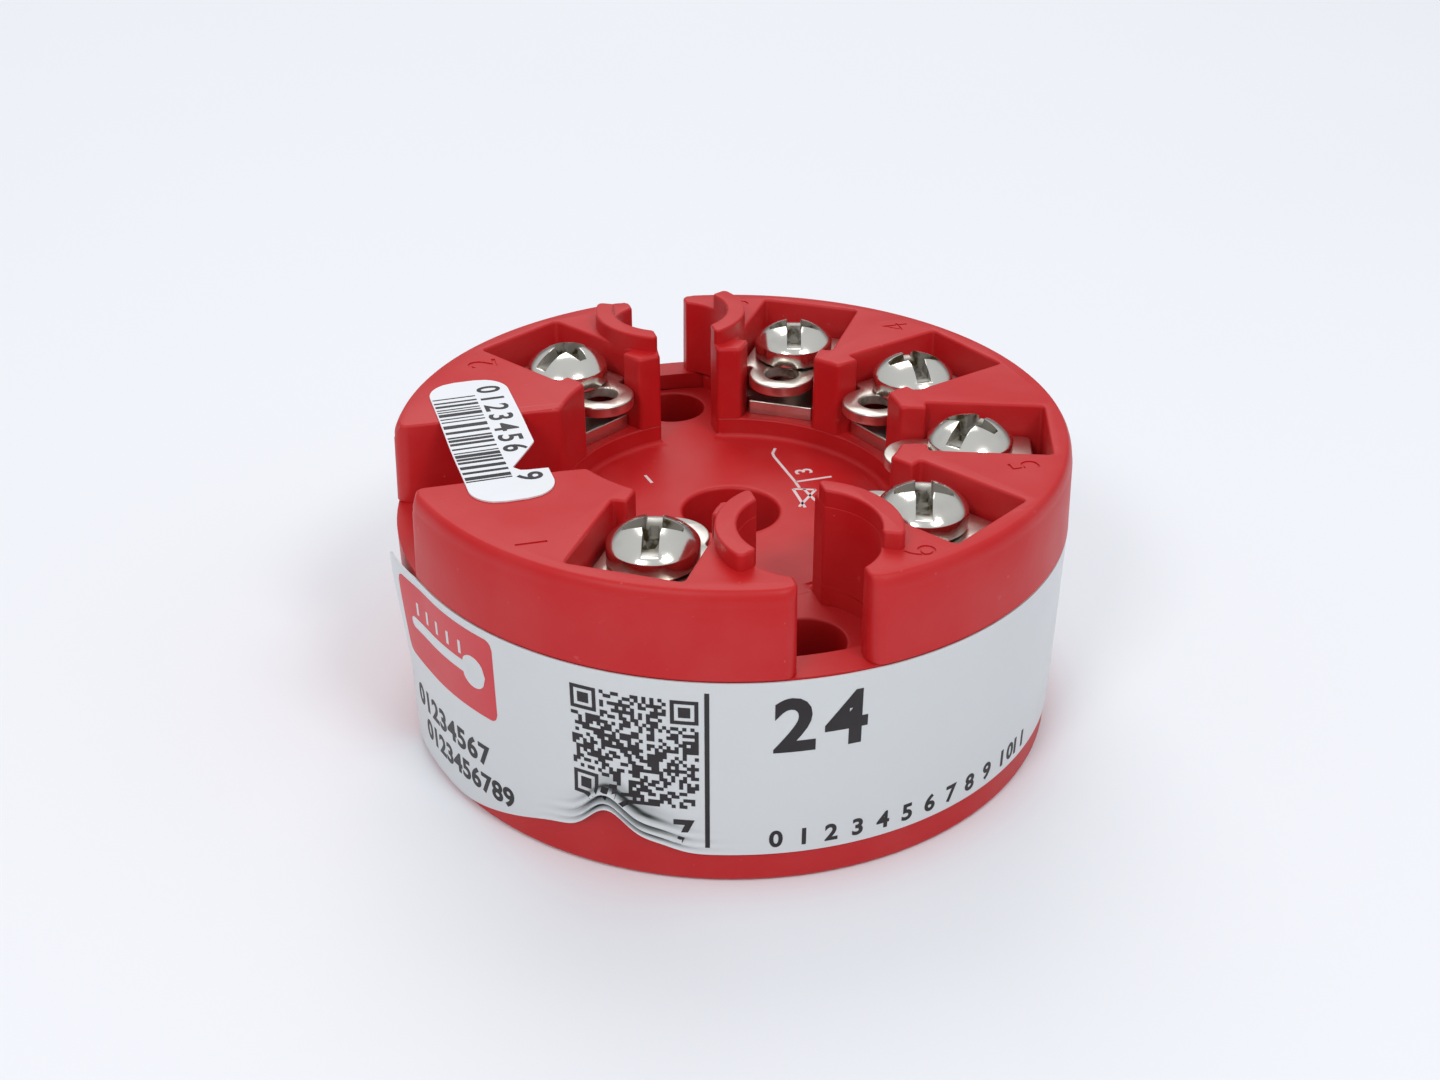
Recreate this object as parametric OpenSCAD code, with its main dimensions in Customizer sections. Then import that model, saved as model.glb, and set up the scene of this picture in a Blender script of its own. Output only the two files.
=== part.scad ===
// Head-mounted temperature transmitter: a round cup with the electronics, under a
// red cover that carries six screw terminals around an open centre.
// The origin is the centre of the resting face. +Z points up out of the cover. The two
// mounting holes lie on the Y axis, and the wire channel opens towards -X.

/* [Mounting] */
// Distance between the two mounting holes, which sets the size of the whole body
hole_pitch = 33; // [32.6:0.1:36]
// Radius of a mounting hole, for an M4 screw
hole_r = 2.4; // [2.1:0.05:2.6]
// Distance from a mounting hole's axis out to the seam
hole_rim = 5.5; // [5.3:0.1:7]
// Radius of the well that takes the screw's head
well_r = 4.1; // [3.8:0.1:4.2]
// Wall of the raised collar round a well
collar_wall = 1.3; // [0.8:0.1:1.3]
// Height of the collar above the flat top
collar_h = 1.1; // [0.4:0.1:1.6]
// Angle that each half of the collar reaches, from the centre side round to the rim side
collar_sweep = 118; // [100:1:130]
// Width of the slot from a well out to the rim and in to the centre
slot_w = 4.1; // [3.6:0.1:4.2]
// Radius of the centre hole that the sensor's wires come up through
centre_r = 3.2; // [2.8:0.1:3.4]

/* [Cup] */
// Height of the cup, from the resting face to the seam under the cover
cup_h = 14.6; // [13.6:0.1:17]
// How much less the cup's radius is just above its bottom edge than at the seam
foot_step = 0.35; // [0.2:0.05:0.7]
// Radius of the cup's rounded bottom edge
foot_round = 0.4; // [0.2:0.1:1]
// Wall thickness of the cup at the seam
cup_wall = 2.3; // [1.9:0.1:2.6]
// Floor thickness of the cup
cup_floor = 1.5; // [1:0.1:2.5]

/* [Cover] */
// Height of the cover's flat top above the seam
cover_h = 5.6; // [5.4:0.1:7]
// How much less the cover's radius is at its top than at the seam
top_step = 0.1; // [0.1:0.05:0.4]
// Radius of the rounded edge of the flat top
top_round = 0.85; // [0.6:0.05:1]
// Depth of the centre floor below the flat top
recess_depth = 6.75; // [6:0.05:7]
// Gap between the raised disc in the centre and the ends of the webs
disc_gap = 0.3; // [0.2:0.05:0.8]
// Depth of the wire channel's floor below the raised disc
channel_drop = 0.7; // [0.2:0.1:0.8]
// Width of the wire channel between terminals 1 and 2
channel_w = 8.6; // [7.6:0.1:8.8]
// Thickness of the cover's floor under the raised disc
cover_floor = 1.55; // [1.3:0.05:2]

/* [Terminals] */
// Angle of the four outer terminals from the X axis
outer_angle = 57.5; // [57:0.5:58]
// Angle of the two middle terminals from the +X axis
middle_angle = 19.8; // [19.4:0.2:20]
// Wall between a terminal's pocket and the outside of the cover
rim_wall = 1.6; // [1.4:0.05:1.9]
// Width of a pocket
pocket_w = 7; // [6.8:0.1:7.1]
// Length of a pocket, on the line from the centre through its screw
pocket_l = 7.7; // [7.5:0.1:7.9]
// Distance from a pocket's outer wall in to its screw
screw_inset = 4.9; // [4.7:0.1:5.1]
// Width of the mouth through which a wire enters a pocket
mouth_w = 5.2; // [5.1:0.1:5.6]
// Length of the lips beside a mouth
lip_l = 1.4; // [1:0.1:1.6]
// Depth of the terminal plate's seat below the flat top
seat_depth = 5.4; // [5.2:0.1:5.6]
// Thickness of a terminal plate
plate_t = 1; // [0.8:0.1:1.2]
// Thickness of a wire clamp
clamp_t = 0.8; // [0.6:0.1:1]
// Height of the open gap between a terminal plate and its wire clamp
wire_gap = 1.5; // [1.2:0.1:1.7]

/* [Screws] */
// Radius of a terminal screw's shank
shank_r = 1.45; // [1.3:0.05:1.5]
// Radius of a screw's head
head_r = 2.75; // [2.5:0.05:2.9]
// Height of the head's straight edge
head_band = 1.2; // [0.9:0.1:1.4]
// Height of the head's dome above its edge
head_dome = 1.4; // [1.2:0.1:1.8]
// Bare shank between the head and the wire clamp
neck_h = 0.1; // [0.1:0.1:0.5]
// Width of the slot in the head
driver_w = 0.8; // [0.6:0.1:1]
// Length of the screw below the head
shank_l = 4.3; // [4:0.1:4.5]

/* [Label and sticker] */
// Thickness of the wrap label
label_t = 0.15; // [0.1:0.05:0.3]
// Height of the label's lower edge above the resting face
label_low = 1.7; // [1.5:0.1:4]
// Height of the label's upper edge below the seam
label_drop = 0.1; // [0.05:0.05:1]
// Angle that the label wraps round the cup
label_sweep = 301; // [200:1:340]
// Thickness of the sticker across the wire channel
sticker_t = 0.12; // [0.08:0.02:0.3]
// Width of the sticker, along X
sticker_w = 5.4; // [4:0.1:6.4]
// Length of the sticker, along Y
sticker_l = 17.5; // [14:0.1:18]

/* [Hidden] */
$fn = 96;
// Overrun of every cut past the face that it opens
cut = 1;
// Play of a plate, a leg or a board in the place that holds it
play = 0.15;
// Radial running clearance of a shank in its hole
run = 0.05;

// Heights of the seam, the flat top, the centre floor, the cover's underside and the seats
seam_z = cup_h;
top_z = seam_z + cover_h;
disc_z = top_z - recess_depth;
cover_z = disc_z - cover_floor;
seat_z = top_z - seat_depth;

// Radii, from the outside in
hole_y = hole_pitch / 2;
seam_r = hole_y + hole_rim;
foot_r = seam_r - foot_step;
cup_in_r = seam_r - cup_wall;
spigot_r = cup_in_r - play;
top_r = seam_r - top_step;
pocket_out = top_r - rim_wall;
screw_ring_r = pocket_out - screw_inset;
lip_end = pocket_out - pocket_l;
recess_r = lip_end - lip_l;
disc_r = recess_r - disc_gap;

// Tubes that stand on the cup's floor and carry the holes up to the cover
tube_wall = 1.4;
hole_tube_r = hole_r + tube_wall;
centre_tube_r = centre_r + tube_wall;

// Circuit board, and the free height over it and under the parts that hang from it
ledge_w = 0.8;
board_t = 1.6;
board_room = 2.5;
floor_room = 1.7;
board_z = cover_z - board_room;
ledge_z = board_z - board_t;
board_r = cup_in_r - play;

// Parts on the board: where their middles are, and their length, width and height. The
// transformer keeps to the board's edge
transformer_l = 8.4;
transformer_w = 7.2;
transformer_gap = 4.15;
transformer_place = [transformer_gap + transformer_l / 2 - board_r, 0];
transformer_size = [transformer_l, transformer_w, ledge_z - cup_floor - floor_room];
processor_place = [10, 0];
processor_size = [6.4, 6.4, 1.1];
converter_place = [-10, 0];
converter_size = [4.4, 5, 1.2];
regulator_place = [6.2, -10];
regulator_size = [3.4, 4.6, 1.4];
// Bobbin flange at each end of the transformer's core
flange_t = 0.9;
flange_rim = 0.5;
// Capacitors: radius, height against the transformer's, and the circle and angle between them
can_r = 1.8;
can_room = 0.2;
can_h = ledge_z - cup_floor - floor_room - can_room;
can_ring_r = 11.4;
can_step = 24;

// Terminals: places along the line from the centre through the screw
plate_w = pocket_w - 4 * play;
tongue_w = mouth_w - 3 * play;
tongue_l = 0.8;
plate_in = lip_end + play;
plate_out = pocket_out - 3 * play;
sleeve_wall = 0.7;
sleeve_h = 0.8;
leg_inset = 2.25;
leg_x = pocket_out - leg_inset;
leg_w = 1.2;
leg_t = 0.6;
leg_below = 0.8;
clamp_z = seat_z + plate_t + wire_gap;
clamp_w = plate_w;
clamp_out = pocket_out - 5 * play;
lug_r = mouth_w / 2 - 2 * play;
lug_out = 1;
lug_x = recess_r + lug_out;
eye_r = 1.25;
head_z = clamp_z + clamp_t + neck_h;
tip_z = head_z - shank_l;
bottom_room = 0.2;
cross_l = 3.2;
slot_depth = 1.05;
cross_depth = 1.5;

// Sticker: where it lies across the channel
sticker_inset = 3.5;
sticker_x = sticker_inset - top_r;
sticker_y = -7.2;
sticker_round = 2.2;

// Angle at which the label starts, behind the left side of the front view
label_start = 183;

// Angle of each terminal from the +X axis, in the order of its number
terminal_angles = [180 + outer_angle, 180 - outer_angle, outer_angle, middle_angle,
                   -middle_angle, -outer_angle];
// Angle of each screw's slot from the +X axis, as the screws were left
slot_angles = [68, 48, 70, 66, 37, 68];

// Outer radius of the cup's plastic at a height, under the label
function cup_r(z) = foot_r + (seam_r - label_t - foot_r) * (z - foot_round) / (seam_z - foot_round);

// Points of a quarter circle about a centre, from one angle to another
function arc(c, r, from, to, steps = 6) =
    [for (i = [0:steps]) c + r * [cos(from + (to - from) * i / steps), sin(from + (to - from) * i / steps)]];

// Turns its children from the +X axis to a terminal's own direction
module at_terminal(i) {
    rotate([0, 0, terminal_angles[i - 1]]) children();
}

// A box centred on the X axis from one distance to another
module radial_box(x0, x1, w, z0, z1) {
    translate([x0, -w / 2, z0]) cube([x1 - x0, w, z1 - z0]);
}

// Places its children at both mounting holes, the centre on their +X side
module at_holes() {
    for (side = [-1, 1])
        translate([0, side * hole_y, 0]) rotate([0, 0, -90 * side]) children();
}

// Cup: a tapered wall with a rounded foot, a ledge for the board and three tubes
module base_cup() {
    color([0.7, 0.09, 0.1]) difference() {
        union() {
            difference() {
                rotate_extrude() polygon(concat(
                    [[0, 0]],
                    arc([foot_r - foot_round, foot_round], foot_round, -90, 0),
                    [[cup_r(seam_z), seam_z], [0, seam_z]]));
                translate([0, 0, cup_floor]) cylinder(h = ledge_z - cup_floor, r = cup_in_r - ledge_w);
                translate([0, 0, ledge_z]) cylinder(h = seam_z - ledge_z + cut, r = cup_in_r);
            }
            cylinder(h = cover_z, r = centre_tube_r);
            intersection() {
                at_holes() cylinder(h = cover_z, r = hole_tube_r);
                cylinder(h = cover_z, r = cup_in_r + play);
            }
        }
        translate([0, 0, -cut]) cylinder(h = cover_z + 2 * cut, r = centre_r);
        at_holes() translate([0, 0, -cut]) cylinder(h = cover_z + 2 * cut, r = hole_r);
    }
}

// Outer form of the cover: a spigot that drops into the cup, under a tapered rim
module cover_form() {
    rotate_extrude() polygon(concat(
        [[0, cover_z], [spigot_r, cover_z], [spigot_r, seam_z], [seam_r, seam_z]],
        arc([top_r - top_round, top_z - top_round], top_round, 0, 90, 4),
        [[0, top_z]]));
}

// Raised collar round a mounting well, open towards the centre and towards the rim
module collar() {
    rotate([0, 0, -collar_sweep]) translate([0, 0, disc_z]) rotate_extrude(angle = 2 * collar_sweep)
        translate([well_r - play, 0]) square([collar_wall + play, recess_depth + collar_h]);
}

// Pocket, mouth, screw hole and leg slot of one terminal
module terminal_cut() {
    radial_box(lip_end, pocket_out, pocket_w, seat_z, top_z + cut + collar_h);
    radial_box(recess_r - cut, lip_end + cut, mouth_w, seat_z, top_z + cut + collar_h);
    translate([screw_ring_r, 0, seat_z - sleeve_h - play])
        cylinder(h = sleeve_h + play + cut, r = shank_r + run + sleeve_wall + play);
    translate([screw_ring_r, 0, tip_z - wire_gap - bottom_room])
        cylinder(h = seat_z - tip_z + wire_gap + bottom_room, r = shank_r + 2 * play);
    radial_box(leg_x - play, leg_x + leg_t + play, leg_w + 2 * play, cover_z - cut, seat_z + cut);
}

// Cover: webs, lips and rim walls are what the pockets and wells leave standing
module terminal_cover() {
    color([0.82, 0.2, 0.22]) difference() {
        union() {
            cover_form();
            at_holes() collar();
        }
        translate([0, 0, disc_z]) cylinder(h = recess_depth + cut, r = recess_r);
        translate([-seam_r - cut, -channel_w / 2, disc_z - channel_drop])
            difference() {
                cube([seam_r + cut, channel_w, recess_depth + channel_drop + cut]);
                translate([seam_r + cut, channel_w / 2, -cut])
                    cylinder(h = channel_drop + cut, r = disc_r);
            }
        at_holes() {
            translate([0, 0, disc_z]) cylinder(h = recess_depth + collar_h + cut, r = well_r);
            radial_box(-hole_y, hole_y, slot_w, disc_z, top_z + collar_h + cut);
            translate([0, 0, cover_z - cut]) cylinder(h = cover_floor + 2 * cut, r = hole_r);
        }
        translate([0, 0, cover_z - cut]) cylinder(h = cover_floor + 2 * cut, r = centre_r);
        for (i = [1:6]) at_terminal(i) terminal_cut();
    }
}

// Circuit board on the cup's ledge, cut clear of the three tubes
module circuit_board() {
    color([0.08, 0.35, 0.16]) difference() {
        translate([0, 0, ledge_z]) cylinder(h = board_t, r = board_r);
        translate([0, 0, ledge_z - cut]) cylinder(h = board_t + 2 * cut, r = centre_tube_r + 2 * play);
        at_holes() translate([0, 0, ledge_z - cut])
            cylinder(h = board_t + 2 * cut, r = hole_tube_r + 2 * play);
        for (i = [1:6]) at_terminal(i)
            radial_box(leg_x - play, leg_x + leg_t + play, leg_w + 2 * play, ledge_z - cut, board_z + cut);
    }
}

// A box centred on a place, standing on the board or hanging under it
module board_box(place, size, z) {
    translate([place[0] - size[0] / 2, place[1] - size[1] / 2, z]) cube(size);
}

// Transformer that keeps the sensor side apart from the loop side, under the board
module isolation_transformer() {
    inner = transformer_size - [2 * flange_t, 2 * flange_rim, flange_rim];
    flange_x = (transformer_size[0] - flange_t) / 2;
    color([0.16, 0.16, 0.17]) {
        board_box(transformer_place, inner, ledge_z - inner[2]);
        for (side = [-1, 1])
            board_box(transformer_place + [side * flange_x, 0],
                      [flange_t, transformer_size[1], transformer_size[2]], ledge_z - transformer_size[2]);
    }
}

// Processor on top of the board, on the sensor side
module processor_chip() {
    color([0.07, 0.07, 0.08]) board_box(processor_place, processor_size, board_z);
}

// Converter on top of the board, on the loop side
module converter_chip() {
    color([0.09, 0.09, 0.1]) board_box(converter_place, converter_size, board_z);
}

// Regulator on top of the board, beside the front fixing tube
module voltage_regulator() {
    color([0.1, 0.1, 0.11]) board_box(regulator_place, regulator_size, board_z);
}

// Three round capacitors under the board
module filter_capacitors() {
    color([0.2, 0.22, 0.3]) for (turn = [-1:1])
        rotate([0, 0, turn * can_step]) translate([can_ring_r, 0, ledge_z - can_h])
            cylinder(h = can_h, r = can_r);
}

// Fixed terminal plate: a flat plate on its seat, a tapped sleeve and a leg to the board
module terminal_plate(i) {
    sleeve_r = shank_r + run + sleeve_wall;
    color([0.72, 0.71, 0.66]) at_terminal(i) difference() {
        union() {
            radial_box(plate_in, plate_out, plate_w, seat_z, seat_z + plate_t);
            radial_box(plate_in - play - tongue_l, plate_in + cut, tongue_w, seat_z, seat_z + plate_t);
            translate([screw_ring_r, 0, seat_z - sleeve_h]) cylinder(h = sleeve_h + plate_t, r = sleeve_r);
            radial_box(leg_x, leg_x + leg_t, leg_w, ledge_z - leg_below, seat_z + plate_t);
        }
        translate([screw_ring_r, 0, seat_z - sleeve_h - cut])
            cylinder(h = sleeve_h + plate_t + 2 * cut, r = shank_r + run);
    }
}

// Wire clamp: a square plate on the screw with a round lug that reaches into the mouth
module wire_clamp(i) {
    color([0.78, 0.77, 0.72]) at_terminal(i) difference() {
        union() {
            radial_box(plate_in, clamp_out, clamp_w, clamp_z, clamp_z + clamp_t);
            radial_box(lug_x, plate_in + cut, 2 * lug_r, clamp_z, clamp_z + clamp_t);
            translate([lug_x, 0, clamp_z]) cylinder(h = clamp_t, r = lug_r);
        }
        translate([lug_x, 0, clamp_z - cut]) cylinder(h = clamp_t + 2 * cut, r = eye_r);
        translate([screw_ring_r, 0, clamp_z - cut]) cylinder(h = clamp_t + 2 * cut, r = shank_r + run);
    }
}

// Terminal screw: a plain shank under a domed head with a slot and a cross
module terminal_screw(i) {
    dome_r = (head_r * head_r + head_dome * head_dome) / (2 * head_dome);
    band_z = head_z + head_band;
    head_top = band_z + head_dome;
    color([0.8, 0.79, 0.74]) at_terminal(i) translate([screw_ring_r, 0, 0]) difference() {
        union() {
            translate([0, 0, tip_z]) cylinder(h = shank_l + head_band, r = shank_r);
            translate([0, 0, head_z]) cylinder(h = head_band, r = head_r);
            intersection() {
                translate([0, 0, head_top - dome_r]) sphere(r = dome_r);
                translate([0, 0, band_z]) cylinder(h = head_dome + cut, r = head_r);
            }
        }
        rotate([0, 0, slot_angles[i - 1] - terminal_angles[i - 1]]) {
            radial_box(-head_r - cut, head_r + cut, driver_w, head_top - slot_depth, head_top + cut);
            radial_box(-cross_l / 2, cross_l / 2, driver_w, head_top - cross_depth, head_top + cut);
            rotate([0, 0, 90])
                radial_box(-cross_l / 2, cross_l / 2, driver_w, head_top - cross_depth, head_top + cut);
        }
    }
}

// Label wrapped round the cup, between the seam and the foot
module wrap_label() {
    high = seam_z - label_drop;
    color([0.8, 0.82, 0.84]) rotate([0, 0, label_start])
        rotate_extrude(angle = label_sweep) polygon([
            [cup_r(label_low), label_low], [cup_r(label_low) + label_t, label_low],
            [cup_r(high) + label_t, high], [cup_r(high), high]]);
}

// Sticker with round corners that lies on the cover across the channel
module barcode_sticker() {
    round_r = min(sticker_round, sticker_w / 2 - play);
    color([0.93, 0.93, 0.94]) translate([sticker_x, sticker_y, top_z]) linear_extrude(sticker_t) {
        translate([round_r, 0]) square([sticker_w - 2 * round_r, sticker_l]);
        translate([0, round_r]) square([sticker_w, sticker_l - 2 * round_r]);
        for (x = [round_r, sticker_w - round_r])
            for (y = [round_r, sticker_l - round_r])
                translate([x, y]) circle(r = round_r);
    }
}

base_cup();
terminal_cover();
circuit_board();
isolation_transformer();
processor_chip();
converter_chip();
voltage_regulator();
filter_capacitors();
wrap_label();
barcode_sticker();
for (i = [1:6]) terminal_plate(i);
for (i = [1:6]) wire_clamp(i);
for (i = [1:6]) terminal_screw(i);
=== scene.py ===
# Visual model of a head-mounted temperature transmitter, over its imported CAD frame.
# Lengths in the sections are millimetres, and MM turns them into the scene's metres.
import math

import bmesh
import bpy
import numpy as np
from mathutils import Matrix, Vector


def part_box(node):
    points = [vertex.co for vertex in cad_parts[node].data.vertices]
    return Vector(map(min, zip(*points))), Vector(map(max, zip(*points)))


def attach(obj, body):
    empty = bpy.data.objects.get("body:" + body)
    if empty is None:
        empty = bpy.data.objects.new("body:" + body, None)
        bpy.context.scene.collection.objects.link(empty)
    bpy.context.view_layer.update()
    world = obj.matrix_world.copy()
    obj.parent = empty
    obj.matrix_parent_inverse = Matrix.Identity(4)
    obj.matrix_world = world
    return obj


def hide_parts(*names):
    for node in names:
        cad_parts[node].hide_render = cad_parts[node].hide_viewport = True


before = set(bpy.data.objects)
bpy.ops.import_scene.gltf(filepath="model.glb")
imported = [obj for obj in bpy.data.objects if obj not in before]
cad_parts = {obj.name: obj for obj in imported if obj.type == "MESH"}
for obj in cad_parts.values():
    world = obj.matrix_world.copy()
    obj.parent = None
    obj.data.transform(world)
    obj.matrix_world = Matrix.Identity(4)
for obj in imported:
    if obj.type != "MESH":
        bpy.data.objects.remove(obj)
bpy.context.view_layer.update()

MM = 0.001


# Camera. It stands where the photograph's camera stood, in front of the object, a little
# to its left and looking down on it. The lens gives 1750 pixels to a 1440 pixel width.
camera_place = (-27.48, -98.37, 69.39)
camera_target = (-0.706, 0.192, 11.126)
sensor_width = 36
focal_pixels = 1750
image_width = 1440

camera_data = bpy.data.cameras.new("camera")
camera_data.sensor_width = sensor_width
camera_data.lens = sensor_width * focal_pixels / image_width
camera_data.clip_start = 5 * MM
camera = bpy.data.objects.new("camera", camera_data)
camera.location = Vector(camera_place) * MM
camera.rotation_euler = (Vector(camera_target) - Vector(camera_place)).to_track_quat("-Z", "Y").to_euler()
bpy.context.scene.collection.objects.link(camera)
bpy.context.scene.camera = camera
bpy.context.scene.view_settings.view_transform = "Standard"


# Studio. One softbox over and behind the object, two smaller ones over the camera, and a
# pale room with a darker band at eye height, which gives the bright metal its contrast.
studio_aim = (0, 0, 10)
softboxes = (("back_softbox", (60, 420, 520), 420, 1.1, (1.0, 0.99, 0.97)),
             ("left_softbox", (-330, -330, 430), 150, 0.8, (1.0, 1.0, 1.0)),
             ("right_softbox", (170, -360, 480), 150, 0.8, (1.0, 1.0, 1.0)))
for name, place, side, watts, colour in softboxes:
    softbox = bpy.data.lights.new(name, "AREA")
    softbox.shape = "SQUARE"
    softbox.size = side * MM
    softbox.energy = watts
    softbox.color = colour
    light = bpy.data.objects.new(name, softbox)
    light.location = Vector(place) * MM
    light.rotation_euler = (Vector(studio_aim) - Vector(place)).to_track_quat("-Z", "Y").to_euler()
    bpy.context.scene.collection.objects.link(light)


def new_nodes(tree):
    """Two short helpers for a node tree: one adds a node, the other links two sockets."""
    def add(kind, **settings):
        node = tree.nodes.new(kind)
        for key, value in settings.items():
            setattr(node, key, value)
        return node
    return add, tree.links.new


def ramp(node, stops):
    """Sets a colour ramp's stops from (position, value)."""
    band = node.color_ramp
    while len(band.elements) < len(stops):
        band.elements.new(1.0)
    for element, (position, value) in zip(band.elements, stops):
        element.position = position
        element.color = (value, value, value, 1.0)


room_light = (0.90, 0.925, 0.97, 1.0)
room_strength = 0.64
room_bands = ((0.0, 0.9), (0.5, 0.30), (0.58, 0.34), (0.66, 1.0), (1.0, 1.15))
world = bpy.data.worlds.new("room")
world.use_nodes = True
bpy.context.scene.world = world
add, link = new_nodes(world.node_tree)
background = world.node_tree.nodes["Background"]
background.inputs["Strength"].default_value = room_strength
direction = add("ShaderNodeTexCoord")
split = add("ShaderNodeSeparateXYZ")
bands = add("ShaderNodeValToRGB")
ramp(bands, room_bands)
height = add("ShaderNodeMapRange")
height.inputs["From Min"].default_value = -1
tint = add("ShaderNodeMix", data_type="RGBA", blend_type="MULTIPLY")
tint.inputs["Factor"].default_value = 1
tint.inputs["B"].default_value = room_light
link(direction.outputs["Generated"], split.inputs[0])
link(split.outputs["Z"], height.inputs["Value"])
link(height.outputs["Result"], bands.inputs["Fac"])
link(bands.outputs["Color"], tint.inputs["A"])
link(tint.outputs["Result"], background.inputs["Color"])


# Floor. Plain white card that the object stands on, with the faintest unevenness and no
# pattern of its own.
floor_half = 3000
floor_colour = (0.86, 0.875, 0.905, 1.0)
floor_shade = 0.965
floor_patches = 9
floor_mesh = bpy.data.meshes.new("floor")
floor_corners = np.array([(-1, -1, 0), (1, -1, 0), (1, 1, 0), (-1, 1, 0)]) * floor_half * MM
floor_mesh.from_pydata(floor_corners, [], [(0, 1, 2, 3)])
floor = bpy.data.objects.new("floor", floor_mesh)
bpy.context.scene.collection.objects.link(floor)


def new_material(name, colour, roughness, metallic=0.0):
    """A node material whose Principled shader has these constants, and its helpers."""
    material = bpy.data.materials.new(name)
    material.use_nodes = True
    shader = material.node_tree.nodes["Principled BSDF"]
    shader.inputs["Base Color"].default_value = colour
    shader.inputs["Roughness"].default_value = roughness
    shader.inputs["Metallic"].default_value = metallic
    add, link = new_nodes(material.node_tree)
    return material, shader, add, link


card, shader, add, link = new_material("white_card", floor_colour, 0.75)
coordinates = add("ShaderNodeTexCoord")
patches = add("ShaderNodeTexNoise")
patches.inputs["Scale"].default_value = floor_patches
patches.inputs["Detail"].default_value = 3
shade = add("ShaderNodeMix", data_type="RGBA")
shade.inputs["A"].default_value = floor_colour
shade.inputs["B"].default_value = tuple(c * floor_shade for c in floor_colour[:3]) + (1.0,)
link(coordinates.outputs["Object"], patches.inputs["Vector"])
link(patches.outputs["Fac"], shade.inputs["Factor"])
link(shade.outputs["Result"], shader.inputs["Base Color"])
floor_mesh.materials.append(card)


# Cup. One red moulding of glass-filled polyamide, with a rounded foot and three bores. The
# CAD solid has its real shape, so it stays and gets the moulded plastic.
def pattern_tools(group):
    """Helpers for a surface group's nodes: adding one, linking two sockets, noise over the object's
    own coordinates, a smooth step of a value, and a sum or another operation of two values."""
    add, link = new_nodes(group)
    place = add("ShaderNodeTexCoord").outputs["Object"]

    def noise(scale, detail, stretch=None):
        """Noise of scale waves per metre, stretched by three factors and turned if they are given."""
        node = add("ShaderNodeTexNoise")
        node.inputs["Scale"].default_value = scale
        node.inputs["Detail"].default_value = detail
        link(place, node.inputs["Vector"])
        if stretch:
            mapping = add("ShaderNodeMapping")
            mapping.inputs["Scale"].default_value = stretch[0]
            mapping.inputs["Rotation"].default_value = stretch[1]
            link(place, mapping.inputs["Vector"])
            link(mapping.outputs["Vector"], node.inputs["Vector"])
        return node.outputs["Fac"]

    def window(value, low, high, top=1.0):
        """Smooth step of a value, from 0 at low to top at high."""
        node = add("ShaderNodeMapRange", interpolation_type="SMOOTHSTEP")
        for entry, limit in (("From Min", low), ("From Max", high), ("To Max", top)):
            node.inputs[entry].default_value = limit
        link(value, node.inputs["Value"])
        return node.outputs["Result"]

    def maths(operation, a, b, clamp=False):
        """Sum, product or another operation of two sockets or numbers."""
        node = add("ShaderNodeMath", operation=operation, use_clamp=clamp)
        for value, entry in ((a, node.inputs[0]), (b, node.inputs[1])):
            if isinstance(value, (int, float)):
                entry.default_value = value
            else:
                link(value, entry)
        return node.outputs[0]

    return add, link, noise, window, maths


def surface_group(name, sockets):
    """Empty node group: sockets lists (name, kind, way, default), and the three that all have come
    with it. It also gives the group's tools, its inputs and its outputs."""
    group = bpy.data.node_groups.new(name, "ShaderNodeTree")
    for label, kind, way, default in sockets + (("Color", "Color", "OUTPUT", None),
                                                ("Roughness", "Float", "OUTPUT", None),
                                                ("Height", "Float", "OUTPUT", None)):
        made = group.interface.new_socket(name=label, in_out=way, socket_type="NodeSocket" + kind)
        if default is not None:
            made.default_value = default
    tools = pattern_tools(group)
    return group, tools, tools[0]("NodeGroupInput").outputs, tools[0]("NodeGroupOutput").inputs


def moulded_surface():
    """Node group for satin moulded plastic: colour = base, paler where dust lies and mottled
    by slow noise; roughness = its own value plus smudges; height = fine grain plus scratches."""
    group, tools, given, made = surface_group("moulded_surface", (
        ("Base", "Color", "INPUT", (0.5, 0.01, 0.014, 1)), ("Dust", "Color", "INPUT", (0.6, 0.5, 0.5, 1)),
        ("Roughness", "Float", "INPUT", 0.4), ("Mottle", "Float", "INPUT", 0.2),
        ("Scratches", "Float", "INPUT", 0.3)))
    add, link, noise, window, maths = tools
    mottle = maths("MULTIPLY", window(noise(220, 4), 0.35, 0.7), given["Mottle"])
    specks = window(noise(2600, 2), 0.74, 0.8, 0.8)
    lint = window(noise(90, 3, ((1, 14, 14), (0.4, 0.2, 0.9))), 0.70, 0.74, 0.35)
    dusty = add("ShaderNodeMix", data_type="RGBA")
    link(maths("MAXIMUM", mottle, maths("MAXIMUM", specks, lint)), dusty.inputs["Factor"])
    link(given["Base"], dusty.inputs["A"])
    link(given["Dust"], dusty.inputs["B"])
    link(dusty.outputs["Result"], made["Color"])
    smudge = maths("ADD", window(noise(130, 3), 0.4, 0.75, 0.12), maths("MULTIPLY", specks, 0.3))
    link(maths("ADD", given["Roughness"], smudge), made["Roughness"])
    grain = maths("ADD", maths("MULTIPLY", noise(5200, 2), 0.35), noise(260, 2))
    scratch_a = window(noise(150, 1, ((1, 30, 30), (0.1, 0.3, 0.5))), 0.68, 0.72)
    scratch_b = window(noise(170, 1, ((30, 1, 30), (0.2, 0.1, 1.2))), 0.69, 0.73)
    scratches = maths("MULTIPLY", maths("ADD", scratch_a, scratch_b), given["Scratches"])
    link(maths("ADD", grain, maths("MULTIPLY", scratches, -0.5)), made["Height"])
    return group


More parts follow.
